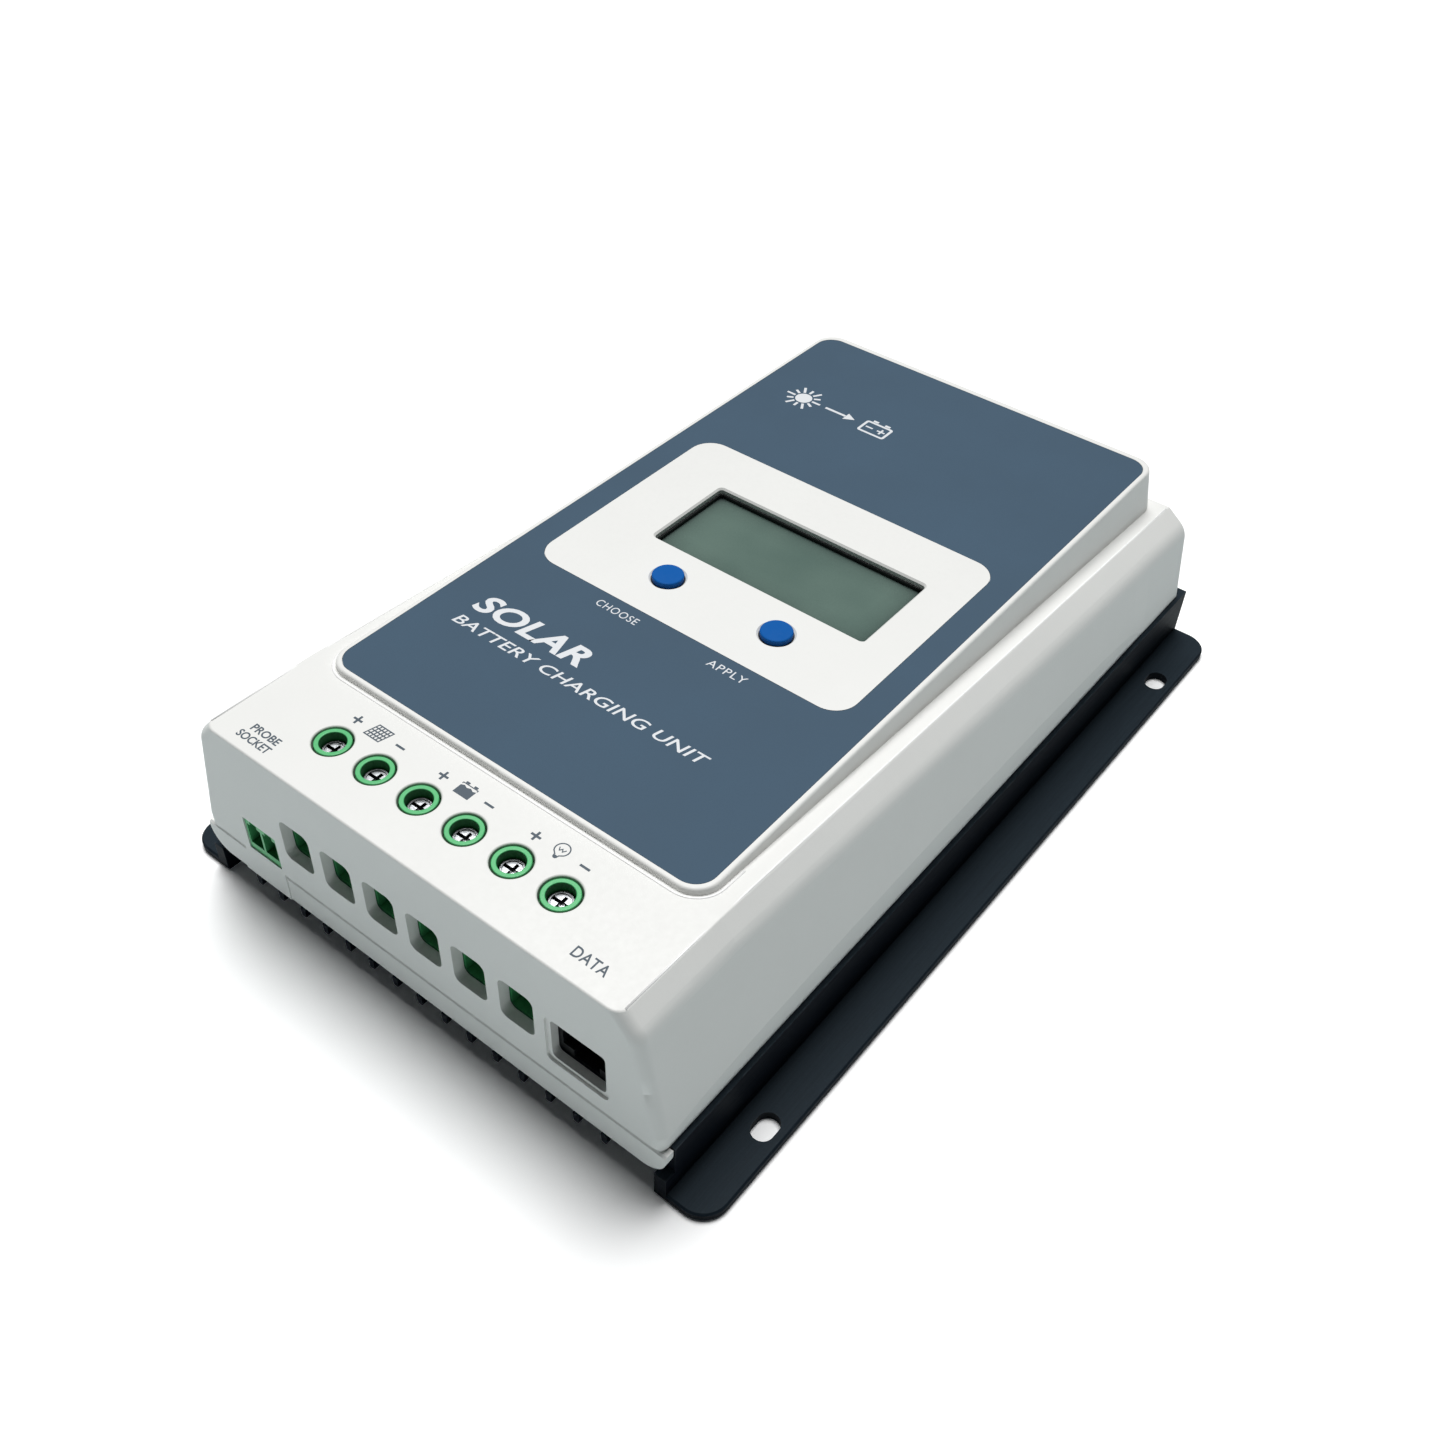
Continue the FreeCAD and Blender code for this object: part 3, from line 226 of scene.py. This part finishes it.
def make_finishes():
    made = {}
    made["cover_white"] = moulded("cover_white_grain", WHITE, 0.5, grain=1700, depth=0.00001,
                                  mottle=0.02, dust_and_shade=0)
    # The beads' finish is whiter and glossier than the cover: a painted highlight along the lines
    # they follow.
    made["cover_bead"] = moulded("cover_bead_highlight", BEAD_HIGHLIGHT, 0.3, depth=0.000004, mottle=0.01,
                                 dust_and_shade=0)
    made["white_plastic"] = moulded("white_plastic_grain", srgb(232, 232, 226), 0.45)
    # Strong painted shade in the terminal block's wells and bores.
    made["terminal_green"] = moulded("terminal_green_grain", GREEN, 0.38, grain=5200,
                                     dust_and_shade=0.85, reach=0.012)
    made["black_plastic"] = moulded("black_plastic_grain", BLACK, 0.42, mottle=0.2)
    made["steel_black"] = moulded("black_paint_grain", BLACK, 0.4, mottle=0.2)
    # Strong painted shade where each button meets the bezel.
    made["button_blue"] = moulded("button_blue_satin", srgb(4, 93, 174), 0.55,
                                  grain=6000, depth=0.000008, mottle=0.08, dust_and_shade=0.95,
                                  reach=0.0022)
    made["button_blue"].set(Specular_IOR_Level=0.1)
    made["thermal_grey"] = moulded("thermal_pad_rubber", srgb(122, 126, 132), 0.75,
                                   grain=2400, depth=0.00005, mottle=0.14)
    made["zinc_steel"] = metal("zinc_plate", srgb(198, 200, 204), 0.24)
    made["tinned_copper"] = metal("tin_plate", srgb(206, 208, 206), 0.32, (1, 12, 1))
    made["gold_contact"] = metal("gold_plate", srgb(222, 178, 88), 0.22, (1, 10, 1))

    f = Finish("label_velvet_film")
    cloud = f.noise(26, 5, 0.62)
    fine = f.noise(5200, 2, 0.7)
    base = f.mix(f.span(cloud, 0.3, 0.7), shade(LABEL, 0.93), shade(LABEL, 1.05))
    base = f.mix(f.span(fine, 0.35, 0.7, 0.0, 0.5), base, shade(LABEL, 0.86))
    f.colour(base)
    f.rough(f.span(cloud, 0.3, 0.7, 0.62, 0.72))
    f.bump(fine, 0.00002, 0.55)
    f.set(Specular_IOR_Level=0.12)
    made["label_blue_grey"] = f

    f = Finish("display_glass")
    tone = f.noise(34, 3, 0.5)
    base = f.mix(f.span(tone, 0.3, 0.7), srgb(88, 111, 103), srgb(101, 124, 114))
    film = f.noise(7000, 1)
    base = f.mix(f.span(film, 0.4, 0.7, 0.0, 0.2), base, srgb(70, 90, 82))
    # Painted shade: the glass darkens towards the walls of the display window.
    f.colour(f.mix(f.span(f.hollows(0.007), 0.5, 0.95, 0.95, 0.0), base, srgb(14, 20, 26)))
    f.rough(f.span(tone, 0.3, 0.7, 0.3, 0.4))
    f.bump(film, 0.000004, 0.3)
    f.set(Specular_IOR_Level=0.25, Coat_Weight=0.06, Coat_Roughness=0.12)
    made["display_grey_green"] = f

    f = Finish("anodised_extrusion")
    drawn = f.noise(420, 4, 0.65, f.stretched((6, 0.18, 6)))
    fine = f.noise(5200, 2, 0.6)
    base = f.mix(f.span(drawn, 0.3, 0.7), srgb(24, 35, 43), srgb(33, 44, 52))
    base = f.mix(f.span(fine, 0.5, 0.8, 0.0, 0.5), base, srgb(42, 52, 60))
    # Painted shade: walls and undersides are darker and bluer than faces that look up.
    base = f.mix(f.upward_light_mask(), srgb(9, 15, 25), base)
    # Paler patches along outer edges: partly worn anodising, partly a painted edge highlight.
    edge_highlight_and_wear = f.span(f.edges(0.0009), 0.25, 0.6, 0.4, 0.0)
    edge_highlight_and_wear = f.maths("MULTIPLY", edge_highlight_and_wear, f.span(f.noise(260, 4, 0.7), 0.45, 0.75))
    f.colour(f.mix(edge_highlight_and_wear, base, srgb(110, 116, 120)))
    f.rough(f.span(drawn, 0.3, 0.7, 0.5, 0.62))
    f.bump(drawn, 0.00004, 0.5)
    f.bump(fine, 0.000015, 0.4)
    f.set(Specular_IOR_Level=0.08)
    made["anodised_black"] = f

    f = Finish("board_mask")
    traces = f.cells(260, "DISTANCE_TO_EDGE", f.stretched((1, 1, 0.01)))
    track = f.span(traces, 0.04, 0.09)
    base = f.mix(track, srgb(42, 112, 60), srgb(20, 74, 40))
    f.colour(f.mix(f.span(f.noise(60, 3), 0.3, 0.7, 0.0, 0.5), base, srgb(14, 58, 34)))
    f.rough(f.span(f.noise(1500, 2), 0.3, 0.7, 0.22, 0.34))
    f.bump(track, 0.00004, 0.5)
    f.set(Coat_Weight=0.4, Coat_Roughness=0.15)
    made["board_green"] = f

    f = Finish("ribbon_sheath")
    waves = f.add("ShaderNodeTexWave")
    waves.inputs["Scale"].default_value = 250
    f.link(f.coords, waves.inputs["Vector"])
    rib = waves.outputs["Fac"]
    # Painted shade: the grooves between the ribs are coloured darker than their crests.
    f.colour(f.mix(rib, srgb(104, 108, 112), srgb(178, 181, 184)))
    f.rough(f.span(f.noise(900, 2), 0.3, 0.7, 0.4, 0.5))
    f.bump(rib, 0.0002, 0.7)
    made["ribbon_grey"] = f

    f = Finish("ferrite_coating")
    speck = f.noise(3000, 3, 0.7)
    base = f.mix(f.span(speck, 0.35, 0.7), srgb(58, 60, 64), srgb(92, 94, 98))
    f.colour(base)
    f.rough(f.span(speck, 0.3, 0.7, 0.5, 0.68))
    f.bump(speck, 0.00006, 0.7)
    made["ferrite_grey"] = f

    f = Finish("enamelled_wire")
    drawn = f.noise(900, 3, 0.6)
    base = f.mix(f.span(drawn, 0.3, 0.7), srgb(150, 74, 36), srgb(196, 112, 62))
    f.colour(base)
    f.rough(f.span(drawn, 0.3, 0.7, 0.22, 0.34))
    f.bump(drawn, 0.00002, 0.4)
    f.set(Metallic=0.85, Coat_Weight=0.6, Coat_Roughness=0.1)
    made["enamelled_copper"] = f

    f = Finish("capacitor_sleeve_film")
    wrap = f.noise(120, 3, 0.6, f.stretched((1, 1, 8)))
    base = f.mix(f.span(wrap, 0.3, 0.7), srgb(20, 26, 44), srgb(34, 42, 66))
    f.colour(base)
    f.rough(f.span(wrap, 0.3, 0.7, 0.24, 0.36))
    f.bump(f.noise(2400, 2), 0.00002, 0.4)
    f.set(Coat_Weight=0.3, Coat_Roughness=0.2)
    made["capacitor_sleeve"] = f

    f = Finish("dark_print")
    speck = f.noise(6500, 2, 0.7)
    f.colour(f.mix(f.span(speck, 0.35, 0.75), INK, shade(INK, 1.35)))
    f.rough(f.span(speck, 0.3, 0.7, 0.5, 0.65))
    f.bump(speck, 0.00001, 0.5)
    made["dark_print"] = f

    f = Finish("white_print")
    speck = f.noise(6500, 2, 0.7)
    f.colour(f.mix(f.span(speck, 0.35, 0.75), srgb(238, 240, 242), srgb(214, 219, 224)))
    f.rough(f.span(speck, 0.3, 0.7, 0.45, 0.6))
    f.bump(speck, 0.00001, 0.5)
    made["white_print"] = f
    return {key: f.mat for key, f in made.items()}


FINISH = make_finishes()
for node in NODES.values():
    for holder in node.material_slots:
        holder.material = FINISH[holder.material.name.split(".")[0]]


# ---------------------------------------------------------------- mesh helpers

def piece(name, bm, finish, slot, body=BODY, smooth=False):
    """A new mesh piece that rides on a body and takes the given finish."""
    bmesh.ops.recalc_face_normals(bm, faces=bm.faces)
    mesh = bpy.data.meshes.new(name)
    bm.to_mesh(mesh)
    bm.free()
    mesh.polygons.foreach_set("use_smooth", [smooth] * len(mesh.polygons))
    mesh.materials.append(FINISH[finish])
    obj = bpy.data.objects.new(name, mesh)
    bpy.context.scene.collection.objects.link(obj)
    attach(obj, body)
    return obj


def skin(bm, rows, closed=False):
    """Faces between neighbouring rows of vertices, each row a closed loop."""
    count = len(rows[0])
    for a, b in zip(rows, rows[1:] + rows[:1] if closed else rows[1:]):
        for i in range(count):
            j = (i + 1) % count
            bm.faces.new((a[i], a[j], b[j], b[i]))


def loop(bm, outline, z):
    return [bm.verts.new((x * MM, y * MM, z * MM)) for x, y in outline]


def slab(bm, outline, z, thick):
    """A flat closed plate over an outline of (x, y) points in mm."""
    low, top = loop(bm, outline, z), loop(bm, outline, z + thick)
    bm.faces.new(low[::-1])
    bm.faces.new(top)
    skin(bm, [low, top])


def collar(bm, outer, inner, z, thick):
    """A flat closed frame between two outlines with as many points each."""
    skin(bm, [loop(bm, outer, z), loop(bm, outer, z + thick),
              loop(bm, inner, z + thick), loop(bm, inner, z)], closed=True)


def ring(cx, cy, rad, count, start=0.0, sweep=360.0):
    """Points along a circle, or along an arc with both its ends."""
    steps = count if sweep >= 360 else count + 1
    return [(cx + rad * math.cos(math.radians(start + sweep * i / count)),
             cy + rad * math.sin(math.radians(start + sweep * i / count)))
            for i in range(steps)]


def rounded(x0, x1, y0, y1, rad, count=8):
    """Outline of a rectangle with round corners, as (x, y) points in mm."""
    points = []
    for i, (x, y) in enumerate(((x1 - rad, y1 - rad), (x0 + rad, y1 - rad),
                                (x0 + rad, y0 + rad), (x1 - rad, y0 + rad))):
        points += ring(x, y, rad, count, 90 * i, 90)
    return points


def stroke(points, width):
    """Outline of a mitred line of one width through points, with square ends."""
    sides = ([], [])
    for i, (x, y) in enumerate(points):
        runs = [Vector((b[0] - a[0], b[1] - a[1])).normalized()
                for a, b in zip(points[max(i - 1, 0):i + 1], points[max(i, 1):i + 2])]
        across = sum((Vector((-run.y, run.x)) for run in runs), Vector((0, 0))).normalized()
        reach = width / 2 / across.dot(Vector((-runs[0].y, runs[0].x)))
        end = runs[0] * (width / 2) * ((i == len(points) - 1) - (i == 0))
        for side, way in zip(sides, (1, -1)):
            side.append((x + end.x + across.x * reach * way,
                         y + end.y + across.y * reach * way))
    return sides[1] + sides[0][::-1]


def line(bm, points, width, z):
    slab(bm, stroke(points, width), z, PRINT)


def minus(bm, x, y, half, width, z):
    line(bm, [(x - half, y), (x + half, y)], width, z)


def plus(bm, x, y, half, width, z):
    minus(bm, x, y, half, width, z)
    for way in (-1, 1):
        line(bm, [(x, y + way * width * CLEAR), (x, y + way * half)], width, z)


def bead(name, path, width, tall, up=(0, 0, 1)):
    """A fine half-round line moulded along (x, y, z) points in mm on the cover."""
    bm = bmesh.new()
    rows = []
    for i, point in enumerate(path):
        run = Vector(path[min(i + 1, len(path) - 1)]) - Vector(path[max(i - 1, 0)])
        side = run.cross(Vector(up)).normalized()
        rise = side.cross(run).normalized()
        profile = [(math.cos(math.radians(a)) * width / 2, math.sin(math.radians(a)) * tall)
                   for a in range(0, 181, 30)]
        profile += [(-width / 2, -BEAD_ROOT), (width / 2, -BEAD_ROOT)]
        rows.append([bm.verts.new((Vector(point) + side * s + rise * r) * MM)
                     for s, r in profile])
    bm.faces.new(rows[0])
    bm.faces.new(rows[-1][::-1])
    skin(bm, rows)
    # The whiter bead finish paints a highlight along the line.
    return piece(name, bm, "cover_bead", "cover_white", smooth=True)


def lettering(name, words, x, y, z, tall, wide, finish, slot, slant=0.0, heavy=0.0,
              spacing=1.0):
    """Printed words as a thin closed mesh, centred at x, y and fitted to a size, in mm."""
    curve = bpy.data.curves.new(name, "FONT")
    curve.body = words
    curve.size = 1.0
    curve.shear = slant
    curve.offset = heavy
    curve.space_character = spacing
    curve.resolution_u = 5
    curve.extrude = 0.02
    text = bpy.data.objects.new(name, curve)
    bpy.context.scene.collection.objects.link(text)
    bpy.context.view_layer.update()
    mesh = bpy.data.meshes.new_from_object(
        text.evaluated_get(bpy.context.evaluated_depsgraph_get()))
    bpy.data.objects.remove(text)
    bm = bmesh.new()
    bm.from_mesh(mesh)
    bpy.data.meshes.remove(mesh)
    xs = [v.co.x for v in bm.verts]
    ys = [v.co.y for v in bm.verts]
    mid_x, mid_y = (min(xs) + max(xs)) / 2, (min(ys) + max(ys)) / 2
    scale_x = wide / (max(xs) - min(xs))
    scale_y = tall / (max(ys) - min(ys))
    for v in bm.verts:
        v.co = Vector(((x + (v.co.x - mid_x) * scale_x) * MM,
                       (y + (v.co.y - mid_y) * scale_y) * MM,
                       (z + (PRINT if v.co.z > 0 else 0.0)) * MM))
    bmesh.ops.remove_doubles(bm, verts=bm.verts, dist=1e-7)
    return piece(name, bm, finish, slot)


def middle(node):
    """Middle of a node's box, in mm."""
    low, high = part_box(node)
    return (low + high) / 2 / MM


def surface(x, y):
    """Height of the cover's outside at x, y, in mm."""
    return COVER.ray_cast(Vector((x * MM, y * MM, 1)), Vector((0, 0, -1)))[0].z / MM


# ---------------------------------------------------------------- signs on the deck

POLES = [middle(f"terminal_screw_{n}").x for n in range(1, 7)]
POLE_PAIRS = list(zip(POLES[::2], POLES[1::2]))
POLE_Y = middle("terminal_screw_1").y
DECK_Z = surface(0, POLE_Y - 6)
SIGN_Y = POLE_Y + 7.45
SIGN_SHIFT = -0.75  # the row of signs stands a little to the left of the screws
ON_DECK = ("dark_print", "label_blue_grey")
ON_LABEL = ("white_print", "white_plastic")


def polarity_signs():
    half, width = 0.95, 0.55
    for n, (left, right) in enumerate(POLE_PAIRS, 1):
        bm = bmesh.new()
        plus(bm, left + SIGN_SHIFT, SIGN_Y, half, width, DECK_Z)
        minus(bm, right + SIGN_SHIFT, SIGN_Y, half, width, DECK_Z)
        piece(f"print_polarity_{n}", bm, *ON_DECK)


def panel_sign(x, y):
    """A leaning grid of cells; its upright lines are cut at each row."""
    wide, tall, lean, rows, columns, width = 4.2, 3.6, 0.24, 4, 5, 0.3
    bm = bmesh.new()
    for i in range(rows + 1):
        t = -tall / 2 + tall * i / rows
        line(bm, [(x + t * lean - wide / 2, y + t), (x + t * lean + wide / 2, y + t)],
             width, DECK_Z)
    for i in range(columns + 1):
        s = -wide / 2 + wide * i / columns
        for j in range(rows):
            low = -tall / 2 + tall * j / rows + width * CLEAR
            high = low + tall / rows - 2 * width * CLEAR
            line(bm, [(x + s + low * lean, y + low), (x + s + high * lean, y + high)],
                 width, DECK_Z)
    piece("print_panel_sign", bm, *ON_DECK)


def battery_sign(x, y):
    """A case with a wavy filling level, a thin rim and two caps."""
    half, rim = 2.0, 0.22
    bm = bmesh.new()
    slab(bm, [(x - half, y - 1.8), (x + half, y - 1.8), (x + half, y + 0.75),
              (x + 1.3, y + 0.45), (x + 0.5, y + 0.85), (x - 0.4, y + 0.5),
              (x - 1.2, y + 0.85), (x - half, y + 0.5)], DECK_Z, PRINT)
    line(bm, [(x - half, y + 1.05), (x - half, y + 1.3),
              (x + half, y + 1.3), (x + half, y + 1.05)], rim, DECK_Z)
    for cap in (x - 1.1, x + 1.1):
        slab(bm, rounded(cap - 0.5, cap + 0.5, y + 1.45, y + 1.95, 0.15, 3), DECK_Z, PRINT)
    piece("print_battery_sign", bm, *ON_DECK)


def lamp_sign(x, y):
    """A bulb's outline, its filament and its base."""
    bm = bmesh.new()
    glass = ring(x, y + 0.6, 1.6, 16, -38, 256)
    line(bm, [(x + 0.5, y - 1.0)] + glass + [(x - 0.5, y - 1.0)], 0.27, DECK_Z)
    line(bm, [(x - 0.8, y + 0.8), (x - 0.4, y + 0.15), (x, y + 0.75),
              (x + 0.4, y + 0.15), (x + 0.8, y + 0.8)], 0.22, DECK_Z)
    slab(bm, [(x - 0.62, y - 1.15), (x + 0.62, y - 1.15), (x + 0.5, y - 1.7),
              (x + 0.2, y - 1.95), (x - 0.2, y - 1.95), (x - 0.5, y - 1.7)], DECK_Z, PRINT)
    piece("print_lamp_sign", bm, *ON_DECK)


def socket_words():
    jack_x, probe_x = middle("data_jack").x, middle("probe_header").x
    lettering("print_data_word", "DATA", jack_x - 0.4, POLE_Y - 8.0, DECK_Z, 2.5, 8.2,
              *ON_DECK, heavy=0.012, spacing=1.06)
    lettering("print_probe_word", "PROBE", probe_x + 1.7, POLE_Y - 7.4, DECK_Z, 2.0, 8.0,
              *ON_DECK, heavy=0.02)
    lettering("print_probe_port_word", "SOCKET", probe_x + 1.3, POLE_Y - 10.2, DECK_Z, 2.0, 9.4,
              *ON_DECK, heavy=0.02)


def deck_graphics():
    polarity_signs()
    for sign, (left, right) in zip((panel_sign, battery_sign, lamp_sign), POLE_PAIRS):
        sign((left + right) / 2 + SIGN_SHIFT, SIGN_Y)
    socket_words()


# ---------------------------------------------------------------- signs on the label

LOGO_Y = 70.6  # the sun, the arrow and the storage cell stand in one row


def label_words():
    for side, word, wide in (("left", "CHOOSE", 11.7), ("right", "APPLY", 10.1)):
        key = middle("button_" + side)
        lettering(f"print_{side}_key_word", word, key.x - 0.6, key.y - 16.9, LABEL_Z, 2.2, wide,
                  *ON_LABEL, spacing=1.12)
    lettering("print_title", "SOLAR", -24.8, -46.2, LABEL_Z, 6.3, 32.0,
              *ON_LABEL, slant=0.24, heavy=0.03, spacing=1.02)
    lettering("print_subtitle", "BATTERY CHARGING UNIT", -5.2, -53.7, LABEL_Z, 3.0, 71.0,
              *ON_LABEL, slant=0.2, heavy=0.008, spacing=1.02)


def sun_sign(x=-36.0, disc=2.3, near=3.1, rays=12):
    """A disc with long and short rays in turn."""
    bm = bmesh.new()
    slab(bm, ring(x, LOGO_Y, disc, 40), LABEL_Z, PRINT)
    for i in range(rays):
        a = math.tau * i / rays
        far = 5.0 if i % 2 == 0 else 4.2
        line(bm, [(x + near * math.cos(a), LOGO_Y + near * math.sin(a)),
                  (x + far * math.cos(a), LOGO_Y + far * math.sin(a))], 0.7, LABEL_Z)
    piece("print_sun_sign", bm, *ON_LABEL)


def arrow_sign(tail=-28.4, neck=-22.8, head=-22.3, tip=-19.4, half=1.6):
    bm = bmesh.new()
    line(bm, [(tail, LOGO_Y), (neck, LOGO_Y)], 0.8, LABEL_Z)
    slab(bm, [(head, LOGO_Y - half), (tip, LOGO_Y), (head, LOGO_Y + half)], LABEL_Z, PRINT)
    piece("print_arrow_sign", bm, *ON_LABEL)


def store_sign(left=-16.8, right=-8.6):
    """A storage cell: a framed case with two caps, a minus and a plus."""
    low, high, width, inset, mark_y = LOGO_Y - 3.2, LOGO_Y + 2.4, 0.7, 2.3, LOGO_Y - 0.4
    bm = bmesh.new()
    collar(bm, rounded(left, right, low, high, 0.8),
           rounded(left + width, right - width, low + width, high - width, 0.3),
           LABEL_Z, PRINT)
    for x in (left + inset, right - inset):
        slab(bm, rounded(x - 0.8, x + 0.8, high + 0.15, high + 0.95, 0.2, 3), LABEL_Z, PRINT)
    minus(bm, left + inset, mark_y, 0.8, 0.55, LABEL_Z)
    plus(bm, right - inset, mark_y, 0.9, 0.55, LABEL_Z)
    piece("print_store_sign", bm, *ON_LABEL)


# ---------------------------------------------------------------- seals and beads

def display_shade_lining():
    """Black lining of the display window's walls: partly a foam seal, partly painted shade for the
    window's shadowed walls.
    """
    low, high = (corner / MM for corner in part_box("lcd_glass"))
    lap, clear, thick, tall = 3.0, 0.03, 0.4, 0.9
    x0, x1, y0, y1 = low.x + lap, high.x - lap, low.y + lap, high.y - lap
    bm = bmesh.new()
    collar(bm, rounded(x0 + clear, x1 - clear, y0 + clear, y1 - clear, 1.0),
           rounded(x0 + thick, x1 - thick, y0 + thick, y1 - thick, 0.7),
           high.z + 0.01, tall)
    piece("display_shade_lining", bm, "black_plastic", "black_plastic")


def button_shadow_rings():
    """Black rubber rings in the gaps around the buttons, fixed to the cover; they paint the shadow
    between each button and the bezel.
    """
    foot, clear, gap, depth, tall = 1.2, 0.03, 0.28, 1.6, 1.2
    for side in ("left", "right"):
        low, high = (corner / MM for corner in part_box("button_" + side))
        centre = middle("button_" + side)
        rad = (high.x - low.x) / 2 - foot
        bm = bmesh.new()
        collar(bm, ring(centre.x, centre.y, rad + gap, 48),
               ring(centre.x, centre.y, rad + clear, 48), LABEL_Z - depth, tall)
        piece("button_shadow_ring_" + side, bm, "black_plastic", "black_plastic")


def foot_bead(grow=2.15, rad=7.0, tail=6.0):
    """Raised line round the front foot of the plateau."""
    low, high = (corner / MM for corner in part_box("overlay_label"))
    x0, x1, y0 = low.x - grow, high.x + grow, low.y - grow
    corners = ring(x0 + rad, y0 + rad, rad, 8, 180, 90) + ring(x1 - rad, y0 + rad, rad, 8, 270, 90)
    foot = [(x0, y0 + rad + tail)] + corners + [(x1, y0 + rad + tail)]
    bead("cover_foot_bead", [(x, y, surface(x, y)) for x, y in foot], 0.55, 0.16)


def side_beads():
    """Raised lines on the deck's side creases and on the lower edge of the side walls."""
    crease_x, flare, flare_from, margin, steps = 55.9, 0.8, -82.0, 1.9, 12
    skirt_x, skirt_z = 65.35, 15.45
    front, rear = (corner.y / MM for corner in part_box("top_cover"))
    for side, name in ((-1, "left"), (1, "right")):
        crease = []
        for i in range(steps + 1):
            y = front + margin + (rear - front - 2 * margin) * i / steps
            x = crease_x + flare * max(0.0, (y - flare_from) / (rear - flare_from))
            crease.append((side * x, y, surface(side * x, y)))
        bead("cover_crease_bead_" + name, crease, 0.5, 0.14)
        bead("cover_skirt_bead_" + name, [(side * skirt_x, front + 3.5, skirt_z),
                                          (side * skirt_x, rear - 1.5, skirt_z)],
             0.5, 0.16, up=(side, 0, 0))


deck_graphics()
label_words()
sun_sign()
arrow_sign()
store_sign()
display_shade_lining()
button_shadow_rings()
foot_bead()
side_beads()


# ---------------------------------------------------------------- floor, light, camera

def make_floor(radius=8, count=96):
    """A wide disc, over-exposed to the lens but a dimmer and cooler source of bounced light."""
    bm = bmesh.new()
    bm.faces.new([bm.verts.new((radius * math.cos(math.tau * i / count),
                                radius * math.sin(math.tau * i / count), 0))
                  for i in range(count)])
    mesh = bpy.data.meshes.new("studio_floor")
    bm.to_mesh(mesh)
    bm.free()
    f = Finish("studio_floor_paint")
    paper = f.mix(f.span(f.noise(3, 3), 0.3, 0.7), (1.19, 1.20, 1.20, 1), (1.22, 1.22, 1.22, 1))
    ray = f.add("ShaderNodeLightPath").outputs["Is Camera Ray"]
    f.colour(f.mix(ray, (0.84, 0.91, 0.92, 1), paper))
    f.rough(f.span(f.noise(8, 3), 0.3, 0.7, 0.85, 0.95))
    f.set(Specular_IOR_Level=0.1)
    mesh.materials.append(f.mat)
    floor = bpy.data.objects.new("studio_floor", mesh)
    bpy.context.scene.collection.objects.link(floor)


def make_sky():
    """Faint cool fill light behind a plain pale background."""
    world = bpy.data.worlds.new("studio_sky")
    bpy.context.scene.world = world
    world.use_nodes = True
    tree = world.node_tree
    sky = tree.nodes["Background"]
    sky.inputs["Color"].default_value = (0.86, 0.95, 1.0, 1.0)
    sky.inputs["Strength"].default_value = 0.045
    seen = tree.nodes.new("ShaderNodeBackground")
    seen.inputs["Color"].default_value = (0.93, 0.94, 0.95, 1.0)
    choose = tree.nodes.new("ShaderNodeMixShader")
    ray = tree.nodes.new("ShaderNodeLightPath")
    tree.links.new(ray.outputs["Is Camera Ray"], choose.inputs[0])
    tree.links.new(sky.outputs[0], choose.inputs[1])
    tree.links.new(seen.outputs[0], choose.inputs[2])
    tree.links.new(choose.outputs[0], tree.nodes["World Output"].inputs["Surface"])


def make_light():
    data = bpy.data.lights.new("overhead_softbox", "SUN")
    data.energy = 3.2
    data.angle = math.radians(34)
    lamp = bpy.data.objects.new("overhead_softbox", data)
    lamp.rotation_euler = Vector((-0.22, 0.26, 1.0)).to_track_quat("Z", "Y").to_euler()
    bpy.context.scene.collection.objects.link(lamp)


def make_camera():
    """The photo's viewpoint, above the front right corner; lengths in mm, angles in degrees."""
    place, turn = (156.489, -218.733, 260.786), (46.42006, -1.67021, 38.23915)
    data = bpy.data.cameras.new("photo_view")
    data.sensor_width = 36.0
    data.lens = 36.7125
    data.clip_start = 0.01
    data.clip_end = 50
    camera = bpy.data.objects.new("photo_view", data)
    camera.location = Vector(place) * MM
    camera.rotation_euler = [math.radians(angle) for angle in turn]
    bpy.context.scene.collection.objects.link(camera)
    bpy.context.scene.camera = camera


make_floor()
make_sky()
make_light()
make_camera()
bpy.context.scene.view_settings.view_transform = "Standard"
